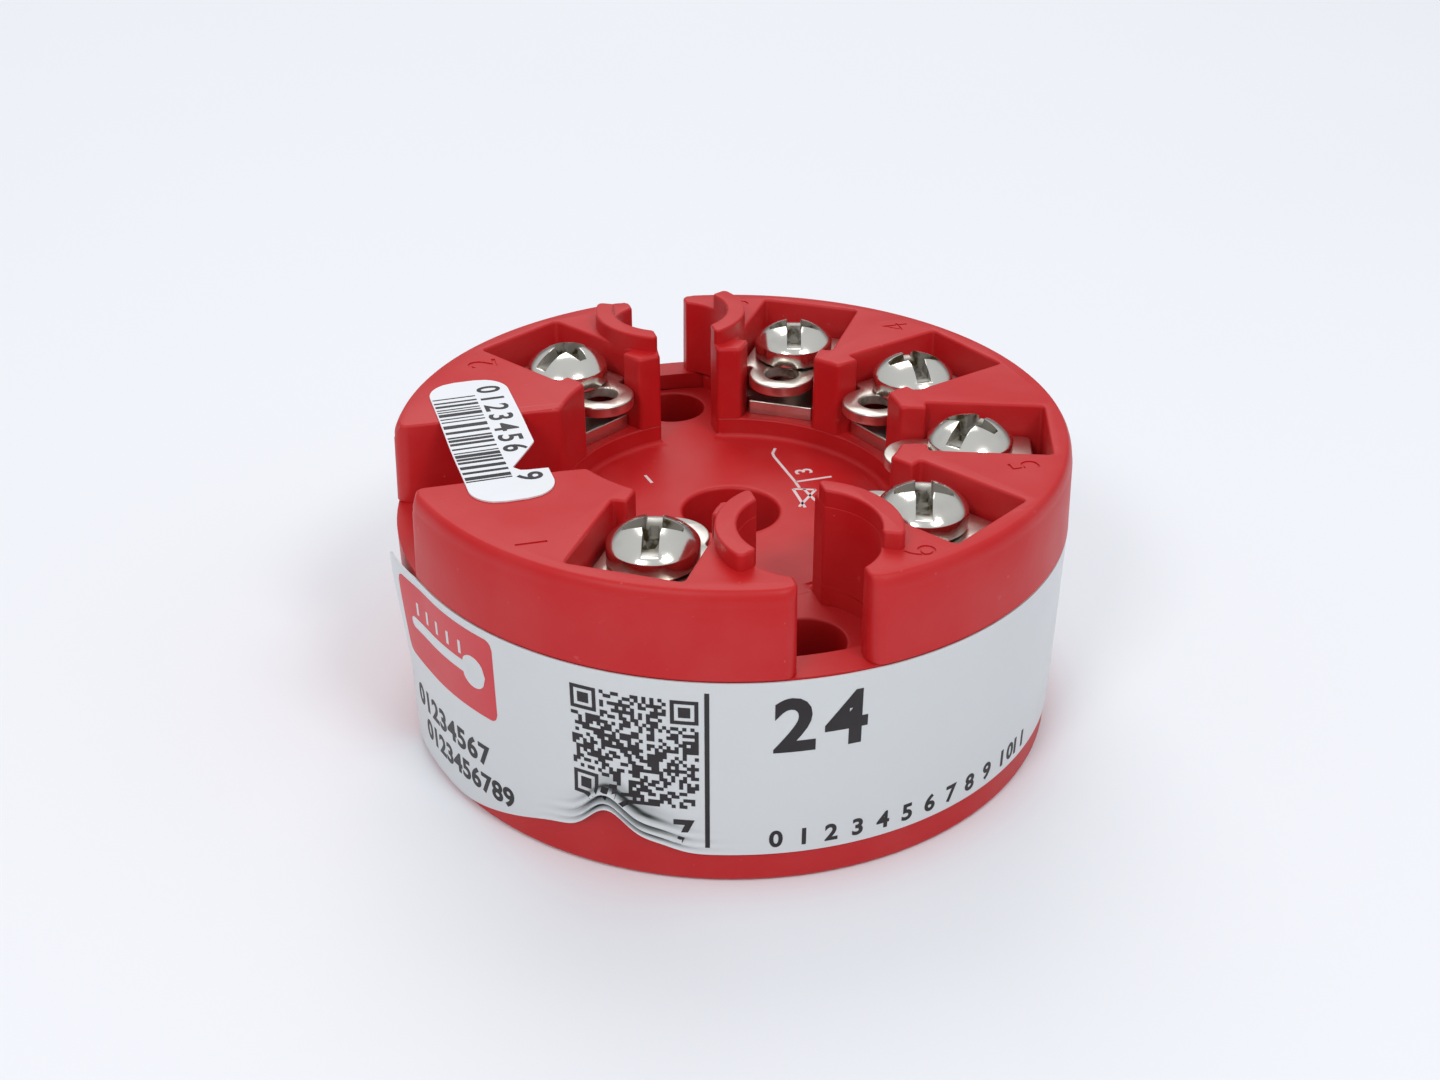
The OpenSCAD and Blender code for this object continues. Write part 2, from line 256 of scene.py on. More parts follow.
def surfaced(name, group, values, metallic, specular, strength, depth):
    """Material that places a surface group in its Principled shader. values are the group's own
    inputs, its outputs feed the shader's inputs, and its height a bump of a depth in millimetres."""
    material, shader, add, link = new_material(name, values["Base"], values["Roughness"], metallic)
    shader.inputs["Specular IOR Level"].default_value = specular
    surface = add("ShaderNodeGroup")
    surface.node_tree = group
    for entry, value in values.items():
        surface.inputs[entry].default_value = value
    relief = add("ShaderNodeBump")
    relief.inputs["Strength"].default_value = strength
    relief.inputs["Distance"].default_value = depth * MM
    for output, node, entry in (("Color", shader, "Base Color"), ("Roughness", shader, "Roughness"),
                                ("Metallic", shader, "Metallic"), ("Height", relief, "Height")):
        if output in surface.outputs:
            link(surface.outputs[output], node.inputs[entry])
    link(relief.outputs["Normal"], shader.inputs["Normal"])
    return material, surface, add, link


plastic_group = moulded_surface()


def plastic(name, base, dust, roughness, mottle, scratches, strength=0.18, depth=0.02, metallic=0.0):
    """Material of moulded plastic, or of anything else with dust, scratches and a fine grain."""
    values = {"Base": base, "Dust": dust, "Roughness": roughness, "Mottle": mottle, "Scratches": scratches}
    return surfaced(name, plastic_group, values, metallic, 0.3, strength, depth)[0]


cup_red = (0.50, 0.011, 0.013, 1)
cup_dust = (0.58, 0.09, 0.09, 1)
cup_plastic = plastic("cup_plastic", cup_red, cup_dust, roughness=0.42, mottle=0.12, scratches=0.35)
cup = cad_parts["base_cup"]
cup.data.materials.clear()
cup.data.materials.append(cup_plastic)


# Cover. A second red moulding that drops into the cup: webs and rim stand round six bays
# for the terminals, over a floor with a raised disc, a wire channel and two screw wells.
cover_low, cover_high = (np.array(corner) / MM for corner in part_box("terminal_cover"))
seam_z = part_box("base_cup")[1][2] / MM
collar_h = 1.1
top_z = cover_high[2] - collar_h
under_z = cover_low[2]
seam_r = cover_high[0]
top_r = 21.8
spigot_r = 19.55
seat_z = top_z - 5.4
disc_z = top_z - 6.75
channel_z = disc_z - 0.7
disc_r = 10.9
recess_r = 11.2
lip_end = 12.6
pocket_out = 20.3
pocket_half = 3.5
mouth_half = 2.6
slot_half = 2.05
channel_half = 4.3
hole_y = 16.5
hole_r = 2.4
well_r, well_margin, well_turn = 4.1, 0.6, 8
collar_r = 5.4
collar_end = 118
centre_r = 3.2
screw_ring_r = 15.4
terminal_angles = (237.5, 122.5, 57.5, 19.8, -19.8, -57.5)
rim_fillet, rim_drop, rim_reach, rim_edge = 0.5, 1.1, 0.6, 0.1
edge_fillet = 0.2
tip_fillet, tip_reach = 0.3, 0.5
sill_fillet, sill_reach = 0.16, 0.35
collar_seam, collar_margin, collar_foot_y = 0.04, 0.3, 18.4
collar_fillet = 0.16
collar_inset = 0.015
collar_sink = 0.8
seam_fillet = 0.06
hair = 0.004
rim_corner, low_corner = 0.9, 0.1
web_corner = 0.35
channel_corner = 0.5
passage_corners = (0.25, 0.25)
bay_corners = (0.2, 0.2, 0.25, 0.3, 0.3, 0.25, web_corner)
collar_corners = (0.4, 0.3, 0.25, 0.3)


def line(start, end, count=6):
    """Straight stretch: start + t (end - start)."""
    t = np.linspace(0, 1, count)[:, None]
    return np.asarray(start, float) * (1 - t) + np.asarray(end, float) * t


def arc(centre, radius, start, end, count):
    """Round stretch: centre + radius (cos a, sin a), with a in degrees from start to end."""
    a = np.radians(np.linspace(start, end, count))
    return np.asarray(centre, float) + radius * np.column_stack([np.cos(a), np.sin(a)])


def turned(points, degrees):
    """Points of the plane turned about the origin."""
    c, s = math.cos(math.radians(degrees)), math.sin(math.radians(degrees))
    return points @ np.array([[c, s], [-s, c]])


def rounded(pieces, radii, steps=5):
    """Closed outline from stretches that meet in corners. A corner of radius r and turn T is cut
    back by r tan(T/2) on both sides and bridged by a circle, written as the weighted mean of its
    ends and the corner: weights (1-t)^2, t^2 and, for the corner, 2t(1-t) cos(T/2)."""
    cuts, weights = [], []
    for piece, after, radius in zip(pieces, pieces[1:] + pieces[:1], radii):
        a, b = piece[-1] - piece[-2], after[1] - after[0]
        turn = abs(math.atan2(a[0] * b[1] - a[1] * b[0], a @ b))
        cuts.append(radius * math.tan(turn / 2))
        weights.append(math.cos(turn / 2))
    trimmed = []
    for k, piece in enumerate(pieces):
        along = np.r_[0, np.cumsum(np.linalg.norm(np.diff(piece, axis=0), axis=1))]
        at = np.linspace(cuts[k - 1], along[-1] - cuts[k], len(piece))
        trimmed.append(np.column_stack([np.interp(at, along, piece[:, i]) for i in (0, 1)]))
    t = np.linspace(0, 1, steps + 1)[1:-1, None]
    outline = []
    for k, piece in enumerate(trimmed):
        after = trimmed[(k + 1) % len(trimmed)]
        start, middle, end = (1 - t) ** 2, 2 * t * (1 - t) * weights[k], t ** 2
        bridge = (start * piece[-1] + middle * pieces[k][-1] + end * after[0]) / (start + middle + end)
        outline += [piece, bridge]
    return np.concatenate(outline)


def polygon(corners, radii, steps=5):
    """Closed outline from corner to corner, with a radius at the end of each side."""
    return rounded([line(a, b) for a, b in zip(corners, corners[1:] + corners[:1])], radii, steps)


def outward(outline):
    """Unit normals of a closed anticlockwise outline: its tangent turned a quarter clockwise."""
    tangent = np.roll(outline, -1, 0) - np.roll(outline, 1, 0)
    normal = np.column_stack([tangent[:, 1], -tangent[:, 0]])
    return normal / np.linalg.norm(normal, axis=1, keepdims=True)


def ring_faces(rows, columns, closed=False):
    """Quads between neighbouring rings of equal size, wound so that a stack that runs down faces out."""
    i, j = np.meshgrid(np.arange(rows if closed else rows - 1), np.arange(columns), indexing="ij")
    below, right = (i + 1) % rows, (j + 1) % columns
    return np.stack([i * columns + j, below * columns + j, below * columns + right,
                     i * columns + right], -1).reshape(-1, 4)


def stacked(rings):
    """Closed shell of a stack of rings of equal size that runs down, with a flat cap at each end."""
    rings = np.asarray(rings)
    count = rings.shape[1]
    cap = np.arange(count)
    return rings.reshape(-1, 3), [ring_faces(len(rings), count), cap[None],
                                  (len(rings) * count - 1 - cap)[None]]


def level_ring(path, inset, z):
    """Ring of an outline's points, each moved in by inset along its normal, at a height z."""
    moved = path - outward(path) * np.reshape(inset, (-1, 1))
    return np.column_stack([moved, np.broadcast_to(z, len(path))])


below_edge = 1.1


def block(outline, top, bottom, fillet, foot=0.0, steps=4, drop=None):
    """Closed shell of an outline from top down to bottom. The top edge is a quarter ellipse: inset
    fillet (1 - sin a) and depth drop (1 - cos a), for a from 0 to 90 degrees; the bottom edge is a
    quarter circle of radius foot. The wall starts below_edge times the deepest drop down, and
    outline(z) gives the outline's points at a height."""
    path, turn = outline(top), np.radians(np.linspace(0, 90, steps + 1))
    drop = fillet if drop is None else drop
    rings = [level_ring(path, fillet * (1 - math.sin(a)), top - drop * (1 - math.cos(a))) for a in turn]
    wall_top = top - below_edge * float(np.max(drop))
    rings += [level_ring(outline(z), 0, z) for z in np.linspace(wall_top, bottom + foot, 3)]
    if foot:
        path = outline(bottom)
        rings += [level_ring(path, foot * (1 - math.sin(a)), bottom + foot * (1 - math.cos(a)))
                  for a in turn[-2::-1]]
    return stacked(rings)


def rim_r(z):
    """Radius of the cover's outside at a height: it widens evenly from the top to the seam."""
    return top_r + (seam_r - top_r) * (top_z - z) / (top_z - seam_z)


def bay(angle):
    """Stretches round one terminal's bay, anticlockwise for the material that stands round it."""
    mouth_u = math.sqrt(recess_r ** 2 - mouth_half ** 2)
    corners = [(mouth_u, mouth_half), (lip_end, mouth_half), (lip_end, pocket_half),
               (pocket_out, pocket_half), (pocket_out, -pocket_half), (lip_end, -pocket_half),
               (lip_end, -mouth_half), (mouth_u, -mouth_half)]
    corners = turned(np.array(corners), angle)
    return [line(a, b) for a, b in zip(corners, corners[1:])]


def passage(radius):
    """Stretches past the well on +Y, on its +X side, from a circle of this radius about the centre
    in to the recess: the passage's wall, the well and the inner wall. A circle inside the well's
    reach meets the well itself, and then the first stretch is a chord of the well."""
    reach = math.sqrt(well_r ** 2 - slot_half ** 2)
    rim = (slot_half, math.sqrt(radius ** 2 - slot_half ** 2))
    start = math.degrees(math.atan2(reach, slot_half))
    end = -start
    if rim[1] < hole_y + reach + well_margin:
        y = (radius ** 2 - well_r ** 2 + hole_y ** 2) / (2 * hole_y)
        rim = (math.sqrt(radius ** 2 - y ** 2), y)
        start = math.degrees(math.atan2(y - hole_y, rim[0])) - well_turn
    well = arc((0, hole_y), well_r, start, end, 25)
    inner_end = (slot_half, math.sqrt(recess_r ** 2 - slot_half ** 2))
    return [line(rim, well[0]), well, line(well[-1], inner_end)]


def block_outline(side, bays, radius):
    """Outline of one of the cover's three blocks. side is +1 for the block right of the wells and
    -1 for a left one, which goes from its well round to the channel; bays lists its terminals."""
    mouth_turn = math.degrees(math.asin(mouth_half / recess_r))
    gap_turn = math.degrees(math.asin(slot_half / recess_r))
    walls = passage(radius)
    outer_corner = rim_corner if radius > top_r - rim_edge else low_corner
    rim_turn = math.degrees(math.atan2(walls[0][0][1], walls[0][0][0]))
    pieces, radii = [], []

    def put(points, corner):
        pieces.append(points)
        radii.append(corner)

    if side > 0:
        put(arc((0, 0), radius, -rim_turn, rim_turn, 97), outer_corner)
        for wall, corner in zip(walls, (*passage_corners, web_corner)):
            put(wall, corner)
        edge, last = 90 - gap_turn, -90 + gap_turn
        flip = (1, -1)
    else:
        channel_turn, rim_channel = (math.degrees(math.asin(channel_half / r)) for r in (recess_r, radius))
        put(arc((0, 0), radius, 180 - rim_turn, 180 - rim_channel, 65), outer_corner)
        ends = [(-math.sqrt(r ** 2 - channel_half ** 2), channel_half) for r in (radius, recess_r)]
        put(line(*ends, 9), channel_corner)
        edge, last = 180 - channel_turn, 90 + gap_turn
        flip = (-1, 1)
    for angle in bays:
        put(arc((0, 0), recess_r, edge, angle + mouth_turn, 9), web_corner)
        for wall, corner in zip(bay(angle), bay_corners):
            put(wall, corner)
        edge = angle - mouth_turn
    put(arc((0, 0), recess_r, edge, last, 9 if bays else 65), web_corner)
    for wall, corner in zip(walls[::-1], (*passage_corners, outer_corner)):
        put(wall[::-1] * flip, corner)
    return rounded(pieces, radii)


def mirrored(outline_at):
    """The same outline mirrored in the X axis, reversed so that it stays anticlockwise."""
    return lambda z: outline_at(z)[::-1] * (1, -1)


def smooth(value, low, high):
    """Smooth step from 0 at low to 1 at high."""
    t = np.clip((value - low) / (high - low), 0, 1)
    return t * t * (3 - 2 * t)


def block_fillets(outline_at):
    """Top fillet and its depth for each point: the largest at the rim, more at the webs' tips than
    at the edges of the bays, and hardly any where a collar stands over a well's wall."""
    path = outline_at(top_z)
    r = np.linalg.norm(path, axis=1)
    fillet = np.where(r < recess_r + tip_reach, tip_fillet, edge_fillet)
    from_well = np.hypot(path[:, 0], np.abs(path[:, 1]) - hole_y)
    under_collar = (from_well < collar_r - collar_margin) & (np.abs(path[:, 1]) < collar_foot_y)
    fillet = np.where(under_collar, collar_seam, fillet)
    near = smooth(r, top_r - rim_reach, top_r - rim_edge)
    return fillet + (rim_fillet - fillet) * near, fillet + (rim_drop - fillet) * near


right_bays = (57.5, 19.8, -19.8, -57.5)
left_bays = (122.5,)
shells = []
for outline_at in (lambda z: block_outline(1, right_bays, rim_r(z)),
                   lambda z: block_outline(-1, left_bays, rim_r(z)),
                   mirrored(lambda z: block_outline(-1, left_bays, rim_r(z)))):
    fillet, drop = block_fillets(outline_at)
    shells.append(block(outline_at, top_z, seat_z, fillet, steps=6, drop=drop))


def seat(outline_at):
    """Shell under a block: the seats of its plates, the seam's overhang and the spigot. The sill's
    edge at the recess is rounded, and the other edges go on from the block above."""
    path = outline_at(rim_r(seat_z))
    fillet = np.where(np.linalg.norm(path, axis=1) < recess_r + sill_reach, sill_fillet, hair)
    rings = [level_ring(path, fillet * (1 - math.sin(a)), seat_z - fillet * (1 - math.cos(a)))
             for a in np.radians(np.linspace(0, 90, 5))]
    rings += [level_ring(outline_at(radius), 0, z) for z, radius in (
        (seam_z + seam_fillet, rim_r(seam_z)), (seam_z, seam_r - seam_fillet), (seam_z, spigot_r),
        (under_z, spigot_r))]
    return stacked(rings)


shells += [seat(lambda radius: block_outline(1, (), radius)),
           seat(lambda radius: block_outline(-1, (), radius)),
           seat(mirrored(lambda radius: block_outline(-1, (), radius)))]


def carried_round(profile, centre, count):
    """Points of a profile of (radius, height), carried once round an upright axis. A radius or a
    height may be an array with one value for each angle."""
    a = np.linspace(0, 2 * math.pi, count, endpoint=False)
    return np.concatenate([np.column_stack([centre[0] + r * np.cos(a), centre[1] + r * np.sin(a),
                                            np.broadcast_to(z, count)]) for r, z in profile])


def ring(profile, centre=(0, 0), count=96):
    """Closed ring of a closed profile with the outside on its left."""
    return carried_round(profile, centre, count), [ring_faces(len(profile), count, closed=True)]


def edge_arc(r, z, radius, start, end, steps=4):
    """Points of a rounded edge in a profile: (r, z) + radius (cos a, sin a)."""
    a = np.radians(np.linspace(start, end, steps + 1))
    return [(r + radius * math.cos(t), z + radius * math.sin(t)) for t in a]


# Centre floor: the raised disc has a rounded edge, and past it the floor rises in a fillet
# to the sills, drops into the wire channel on -X, and runs level into the two passages.
step_depth, step_from, step_to = 0.12, disc_r - 0.42, disc_r - 0.3
rise = 0.35
centre_fillet = 0.25
channel_beside, passage_beside = 0.25, 0.1
channel_from, channel_under = disc_r - 0.14, 0.03
floor_in, floor_out, floor_end = disc_r - 0.5, recess_r + 0.05, recess_r + 0.3
floor_angles = np.linspace(0, 2 * math.pi, 288, endpoint=False)
from_axis = np.abs(np.sin(floor_angles)) * disc_r
in_channel = (np.cos(floor_angles) < 0) & (from_axis < channel_half + channel_beside)
in_passage = np.abs(np.cos(floor_angles)) * recess_r < slot_half + passage_beside
beside = ~(in_channel | in_passage)
profile = [(centre_r, under_z)]
profile += edge_arc(centre_r + centre_fillet, disc_z - centre_fillet, centre_fillet, 180, 90)
profile += [(r, disc_z) for r in np.linspace(centre_r + 2 * centre_fillet, disc_r - 0.7, 12)]
for r in np.linspace(floor_in, floor_out, 22):
    drop = step_depth * smooth(r, step_from, step_to)
    climb = rise - np.sqrt(max(rise ** 2 - max(r - (recess_r - rise), 0) ** 2, 0))
    deep = (disc_z - channel_z + channel_under) * smooth(r, channel_from, disc_r)
    z = disc_z - drop * ~in_passage + np.where(beside, climb, 0) - np.where(in_channel, deep - drop, 0)
    profile.append((r, z))
profile += [(floor_end, z), (floor_end, under_z)]
shells.append(ring(profile, count=len(floor_angles)))

# Channel floor, and the level floor of each well with its screw hole.
channel_in = disc_r - 0.3
strip_half, strip_corner, strip_fillet = channel_half + 0.2, 0.1, 0.02
well_floor_r, well_floor_z = 5.9, disc_z - 0.01
hole_fillet, hole_rim = 0.15, 0.8
strip = [(-spigot_r, -strip_half), (-channel_in, -strip_half), (-channel_in, strip_half),
         (-spigot_r, strip_half)]
strip_path = polygon(strip, (strip_corner,) * 4)
shells.append(block(lambda z: strip_path, channel_z, under_z, strip_fillet))
well_angles = np.linspace(0, 2 * math.pi, 96, endpoint=False)
for sign in (1, -1):
    along = sign * hole_y * np.sin(well_angles)
    reach = -along + np.sqrt(along ** 2 + spigot_r ** 2 - hole_y ** 2)
    outer = np.minimum(reach, well_floor_r)
    profile = [(hole_r, under_z)]
    profile += edge_arc(hole_r + hole_fillet, well_floor_z - hole_fillet, hole_fillet, 180, 90)
    profile += [(hole_r + hole_rim, well_floor_z), (outer, well_floor_z), (outer, under_z)]
    shells.append(ring(profile, (0, sign * hole_y)))


def collar(side, sign):
    """Half of a raised collar: a band between two circles about the well, from the passage at the
    centre side round to the rim side. It stands a hair inside the walls below it."""
    bore, wall = well_r + collar_inset, slot_half + collar_inset
    outer = math.degrees(math.asin(wall / collar_r))
    inner = math.degrees(math.asin(wall / bore))
    o = arc((0, 0), collar_r, outer, collar_end, 41)
    i = arc((0, 0), bore, collar_end, inner, 33)
    path = rounded([o, line(o[-1], i[0]), i, line(i[-1], o[0])], collar_corners)
    if sign < 0:
        path = path[::-1] * (1, -1)
    path = turned(path, -90 * side) + (0, side * hole_y)
    return block(lambda z: path, top_z + collar_h, top_z - collar_sink, collar_fillet)


shells += [collar(side, sign) for side in (1, -1) for sign in (1, -1)]


def read(rows, entry, width=1, kind=float):
    """One entry of all rows of a mesh's data as an array, with width values in each row."""
    values = np.empty(len(rows) * width, kind)
    rows.foreach_get(entry, values)
    return values.reshape(-1, width) if width > 1 else values


level = 0.99999


def make_piece(name, shells, material, body, slot, *nodes, sharp=32):
    """Mesh object of several closed shells in millimetres. Faces whose normal's height is over level
    are shaded flat and the rest smoothly, with edges over the sharp angle kept crisp. It rides and
    replaces as named."""
    points, faces, first = [], [], 0
    for shell_points, shell_faces in shells:
        points.append(shell_points)
        for group in shell_faces:
            faces += (np.asarray(group) + first).tolist()
        first += len(shell_points)
    mesh = bpy.data.meshes.new(name)
    mesh.from_pydata(np.concatenate(points) * MM, [], faces)
    normals = read(mesh.polygons, "normal", 3, np.float32)
    mesh.polygons.foreach_set("use_smooth", np.abs(normals[:, 2]) < level)
    mesh.set_sharp_from_angle(angle=math.radians(sharp))
    mesh.materials.append(material)
    piece = bpy.data.objects.new(name, mesh)
    bpy.context.scene.collection.objects.link(piece)
    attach(piece, body)
    if nodes:
        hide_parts(*nodes)
    return piece


digit_share = 0.7


def flat_text(words, height, pitch, step=0.0, weight=0.03):
    """Flat mesh of plain numbers whose digits have this height, from x = 0 on: points and triangles.
    The digits stand at a fixed pitch, and strips of width step let them bend. The strokes grow by
    weight to both sides, as a share of the font's size, of which a digit's height is digit_share."""
    shape = bmesh.new()
    for k, word in enumerate(words):
        curve = bpy.data.curves.new("numbers", "FONT")
        curve.body = word
        curve.align_x = "CENTER"
        curve.resolution_u = 4
        curve.offset = weight
        holder = bpy.data.objects.new("numbers", curve)
        mesh = bpy.data.meshes.new_from_object(holder)
        mesh.transform(Matrix.Translation((k * pitch * digit_share / height, 0, 0)))
        shape.from_mesh(mesh)
        bpy.data.objects.remove(holder)
        bpy.data.curves.remove(curve)
        bpy.data.meshes.remove(mesh)
    bmesh.ops.remove_doubles(shape, verts=shape.verts, dist=1e-4)
    bmesh.ops.scale(shape, vec=(height / digit_share,) * 3, verts=shape.verts)
    for axis, normal in enumerate(((1, 0, 0), (0, 1, 0)) if step else ()):
        low = min(vertex.co[axis] for vertex in shape.verts)
        high = max(vertex.co[axis] for vertex in shape.verts)
        for cut in np.arange(low + step, high, step):
            bmesh.ops.bisect_plane(shape, geom=shape.verts[:] + shape.edges[:] + shape.faces[:],
                                   plane_co=Vector(normal) * cut, plane_no=normal)
    bmesh.ops.triangulate(shape, faces=shape.faces[:])
    mesh = bpy.data.meshes.new("numbers")
    shape.to_mesh(mesh)
    shape.free()
    points, corners = read(mesh.vertices, "co", 3), read(mesh.loops, "vertex_index", kind=int)
    bpy.data.meshes.remove(mesh)
    return points[:, :2], corners.reshape(-1, 3)


def thin_sheet(flat, place, top, bottom):
    """Closed thin solid of a flat mesh: place(x, y, lift) gives its points at the lifts top and
    bottom, and each edge that one face alone uses gets a side."""
    points, faces = flat
    count = len(points)
    edges = np.stack([faces, np.roll(faces, -1, 1)], -1).reshape(-1, 2)
    key = edges.min(1) * count + edges.max(1)
    keys, uses = np.unique(key, return_counts=True)
    a, b = edges[np.isin(key, keys[uses == 1])].T
    solid = np.concatenate([place(points[:, 0], points[:, 1], lift) for lift in (top, bottom)])
    return solid, [faces, faces[:, ::-1] + count, np.column_stack([a + count, b + count, b, a])]


carved_edge = 30


def carve(shell, cutters, bevel=0.0):
    """Shell with closed cutter shells taken out of it, and a narrow round bevel along the edges
    that turn by more than carved_edge degrees."""
    made = []
    for points, groups in [shell] + cutters:
        mesh = bpy.data.meshes.new("carving")
        mesh.from_pydata(points, [], [face for group in groups for face in np.asarray(group).tolist()])
        solid = bpy.data.objects.new("carving", mesh)
        bpy.context.scene.collection.objects.link(solid)
        made.append(solid)
    for cutter in made[1:]:
        change = made[0].modifiers.new("cut", "BOOLEAN")
        change.solver = "MANIFOLD"
        change.object = cutter
    if bevel:
        change = made[0].modifiers.new("edge", "BEVEL")
        change.width = bevel
        change.segments = 2
        change.limit_method = "ANGLE"
        change.angle_limit = math.radians(carved_edge)
    mesh = bpy.data.meshes.new_from_object(made[0].evaluated_get(bpy.context.evaluated_depsgraph_get()))
    points, corners = read(mesh.vertices, "co", 3), read(mesh.loops, "vertex_index", kind=int)
    starts, totals = (read(mesh.polygons, entry, kind=int) for entry in ("loop_start", "loop_total"))
    groups = [corners[starts[totals == n][:, None] + np.arange(n)] for n in np.unique(totals)]
    bpy.data.meshes.remove(mesh)
    for solid in made:
        mesh = solid.data
        bpy.data.objects.remove(solid)
        bpy.data.meshes.remove(mesh)
    return points, groups


# Terminal numbers, cut a little way into the flat top, each with its top towards -X.
number_h = 2.0
number_depth = 0.08
number_overrun = 0.3
number_weight = -0.014
numbers = {"1": (-15.3, -12.7), "2": (-14.3, 12.8), "3": (5.5, 18.8), "4": (15.5, 11.5), "5": (15.5, -11.1),
           "6": (5.6, -19.3)}


def number_place(place):
    """Place on the cover's top for a flat number: turned a quarter and moved."""
    x0, y0 = place[0] + number_h / 2, place[1]
    return lambda x, y, lift: np.column_stack([x0 - y, y0 + x, np.full(len(x), top_z + lift)])


for word, place in numbers.items():
    block_index = 0 if place[0] > 0 else (1 if place[1] > 0 else 2)
    # The 2 keeps its full strokes, because its outline folds over itself when it is thinned.
    digit = flat_text(word, number_h, 1.0, weight=0.0 if word == "2" else number_weight)
    cutter = thin_sheet(digit, number_place(place), number_overrun, -number_depth)
    shells[block_index] = carve(shells[block_index], [cutter])

cover_red = (0.53, 0.011, 0.013, 1)
cover_dust = (0.60, 0.11, 0.11, 1)
cover_plastic = plastic("cover_plastic", cover_red, cover_dust, roughness=0.40, mottle=0.10,
                        scratches=0.3)
make_piece("cover", shells, cover_plastic, "housing", "cover_plastic", "terminal_cover")


# Wrap label. Grey-white polyester film round the cup, stuck on by its own glue. Its free end
# peels off at the left, and it buckles at the front, where the cup narrows towards its foot.
label_start = 183
label_sweep = 301
label_t = 0.10
label_low_z = 2.2
label_high_z = seam_z - 0.12
foot_r, cup_top_r = 21.65, seam_r - 0.15
foot_round = 0.4
glue_t = 0.03
corner_turn, corner_drop = 2.6, 0.9
left_drop, left_drop_from, left_drop_to = 1.8, 228, 202
end_rise, end_rise_from, end_rise_to = 0.25, 192, 184
peel_lift, peel_from, peel_to, peel_power = 0.62, 198, 184, 1.3
peel_low_share, peel_low_z, peel_high_z = 0.15, 5, 14
buckle_angle = 236.5
# Bells as (height, middle, width): along the lower edge in degrees, and above it in millimetres.
edge_bells = ((2.5, 235.6, 4.6), (0.5, 228, 7), (0.6, 243, 4))
ripple_bells = ((0.46, 1.30, 0.24), (-0.34, 0.88, 0.16), (0.34, 0.58, 0.14), (-0.20, 0.30, 0.10),
                (0.22, 0, 0.13))
# shade_bells and shade_fade place painted shade on the film: dark lines along the ripples and a wider band
# above the buckle, where the creases throw shade.
shade_bells = ((1.2, 0.88, 0.17), (1.3, 0.30, 0.13), (0.9, 1.66, 0.16), (0.3, 2.1, 0.5))
bulge_bell, bulge_fade = (0.24, buckle_angle - 2, 9), (1, 0.6, 2.2)
ripple_fade, shade_fade = (1, buckle_angle + 1.5, 8.0), (1.4, buckle_angle + 2.0, 6.8)


def bells(value, *rows):
    """Sum of bell curves: height exp(-((value - middle) / width)^2) for each row."""
    return sum(height * np.exp(-((value - middle) / width) ** 2) for height, middle, width in rows)


def cup_surface(z):
    """Radius of the cup's outside at a height above its rounded foot."""
    return foot_r + (cup_top_r - foot_r) * (z - foot_round) / (seam_z - foot_round)


def label_low(angle):
    """Height of the label's lower edge: level, raised where it buckles and lower towards its peeled end."""
    lowered = left_drop * smooth(-angle, -left_drop_from, -left_drop_to)
    return label_low_z + bells(angle, *edge_bells) - lowered


def label_high(angle):
    """Height of the label's upper edge: level, with a round corner at the peeled end, which is a
    little raised there: drop (1 - sqrt(1 - u^2)), with u from 1 at the end to 0."""
    u = np.clip(1 - (angle - label_start) / corner_turn, 0, 1)
    raised = end_rise * smooth(-angle, -end_rise_from, -end_rise_to)
    return label_high_z + raised - corner_drop * (1 - np.sqrt(1 - u ** 2))


def label_surface(angle, z, lift=0.0):
    """Point of the label at an angle and a height: the cup's radius, plus the peel at its end, a
    soft bulge over the buckle, ripples that run along the raised edge and fade to both sides of
    the buckle, and lift."""
    peel = peel_lift * smooth(-angle, -peel_from, -peel_to) ** peel_power
    peel = peel * (peel_low_share + (1 - peel_low_share) * smooth(z, peel_low_z, peel_high_z))
    over = z - label_low(angle)
    bulge = bells(angle, bulge_bell) * bells(np.clip(over, 0, None), bulge_fade)
    ripples = bells(over, *ripple_bells) * bells(angle, ripple_fade)
    r = cup_surface(z) + glue_t + label_t + peel + bulge + ripples + lift
    a = np.radians(angle)
    return np.stack([r * np.cos(a), r * np.sin(a), z], -1)


def grid_faces(rows, columns):
    """Quads of a grid of rows and columns of points, each from its first point on in both ways."""
    i, j = np.meshgrid(np.arange(rows - 1), np.arange(columns - 1), indexing="ij")
    first = i * columns + j
    return np.stack([first, first + columns, first + columns + 1, first + 1], -1).reshape(-1, 4)


# The grid is closest at the peeled end, round the buckle and at the lower edge.
rows, row_crowding = 81, 1.8
column_turns = (label_start, 189, 224, 252, label_start + label_sweep)
column_counts = (30, 60, 141, 340)
columns = np.concatenate([np.linspace(a, b, n)[:-1] for a, b, n in
                          zip(column_turns, column_turns[1:], column_counts)] + [column_turns[-1:]])
share = np.linspace(0, 1, rows) ** row_crowding
angle, share = np.meshgrid(columns, share, indexing="ij")
z = label_low(angle) + (label_high(angle) - label_low(angle)) * share
outside = label_surface(angle, z)
inside = label_surface(angle, z, -label_t)
across = len(columns)
count = rows * across
quads = grid_faces(across, rows)
border = np.r_[np.arange(across) * rows, (across - 1) * rows + np.arange(1, rows),
               np.arange(across - 2, -1, -1) * rows + rows - 1, np.arange(rows - 2, 0, -1)]
rim_quads = np.stack([border, border + count, np.roll(border, -1) + count, np.roll(border, -1)], -1)
film_grey, film_dust, painted_crease_colour = (0.67, 0.69, 0.70, 1), (0.66, 0.67, 0.68, 1), (0.028, 0.034, 0.032, 1)
film = plastic("label_film", film_grey, film_dust, roughness=0.30, mottle=0.25, scratches=0.25,
               strength=0.08)
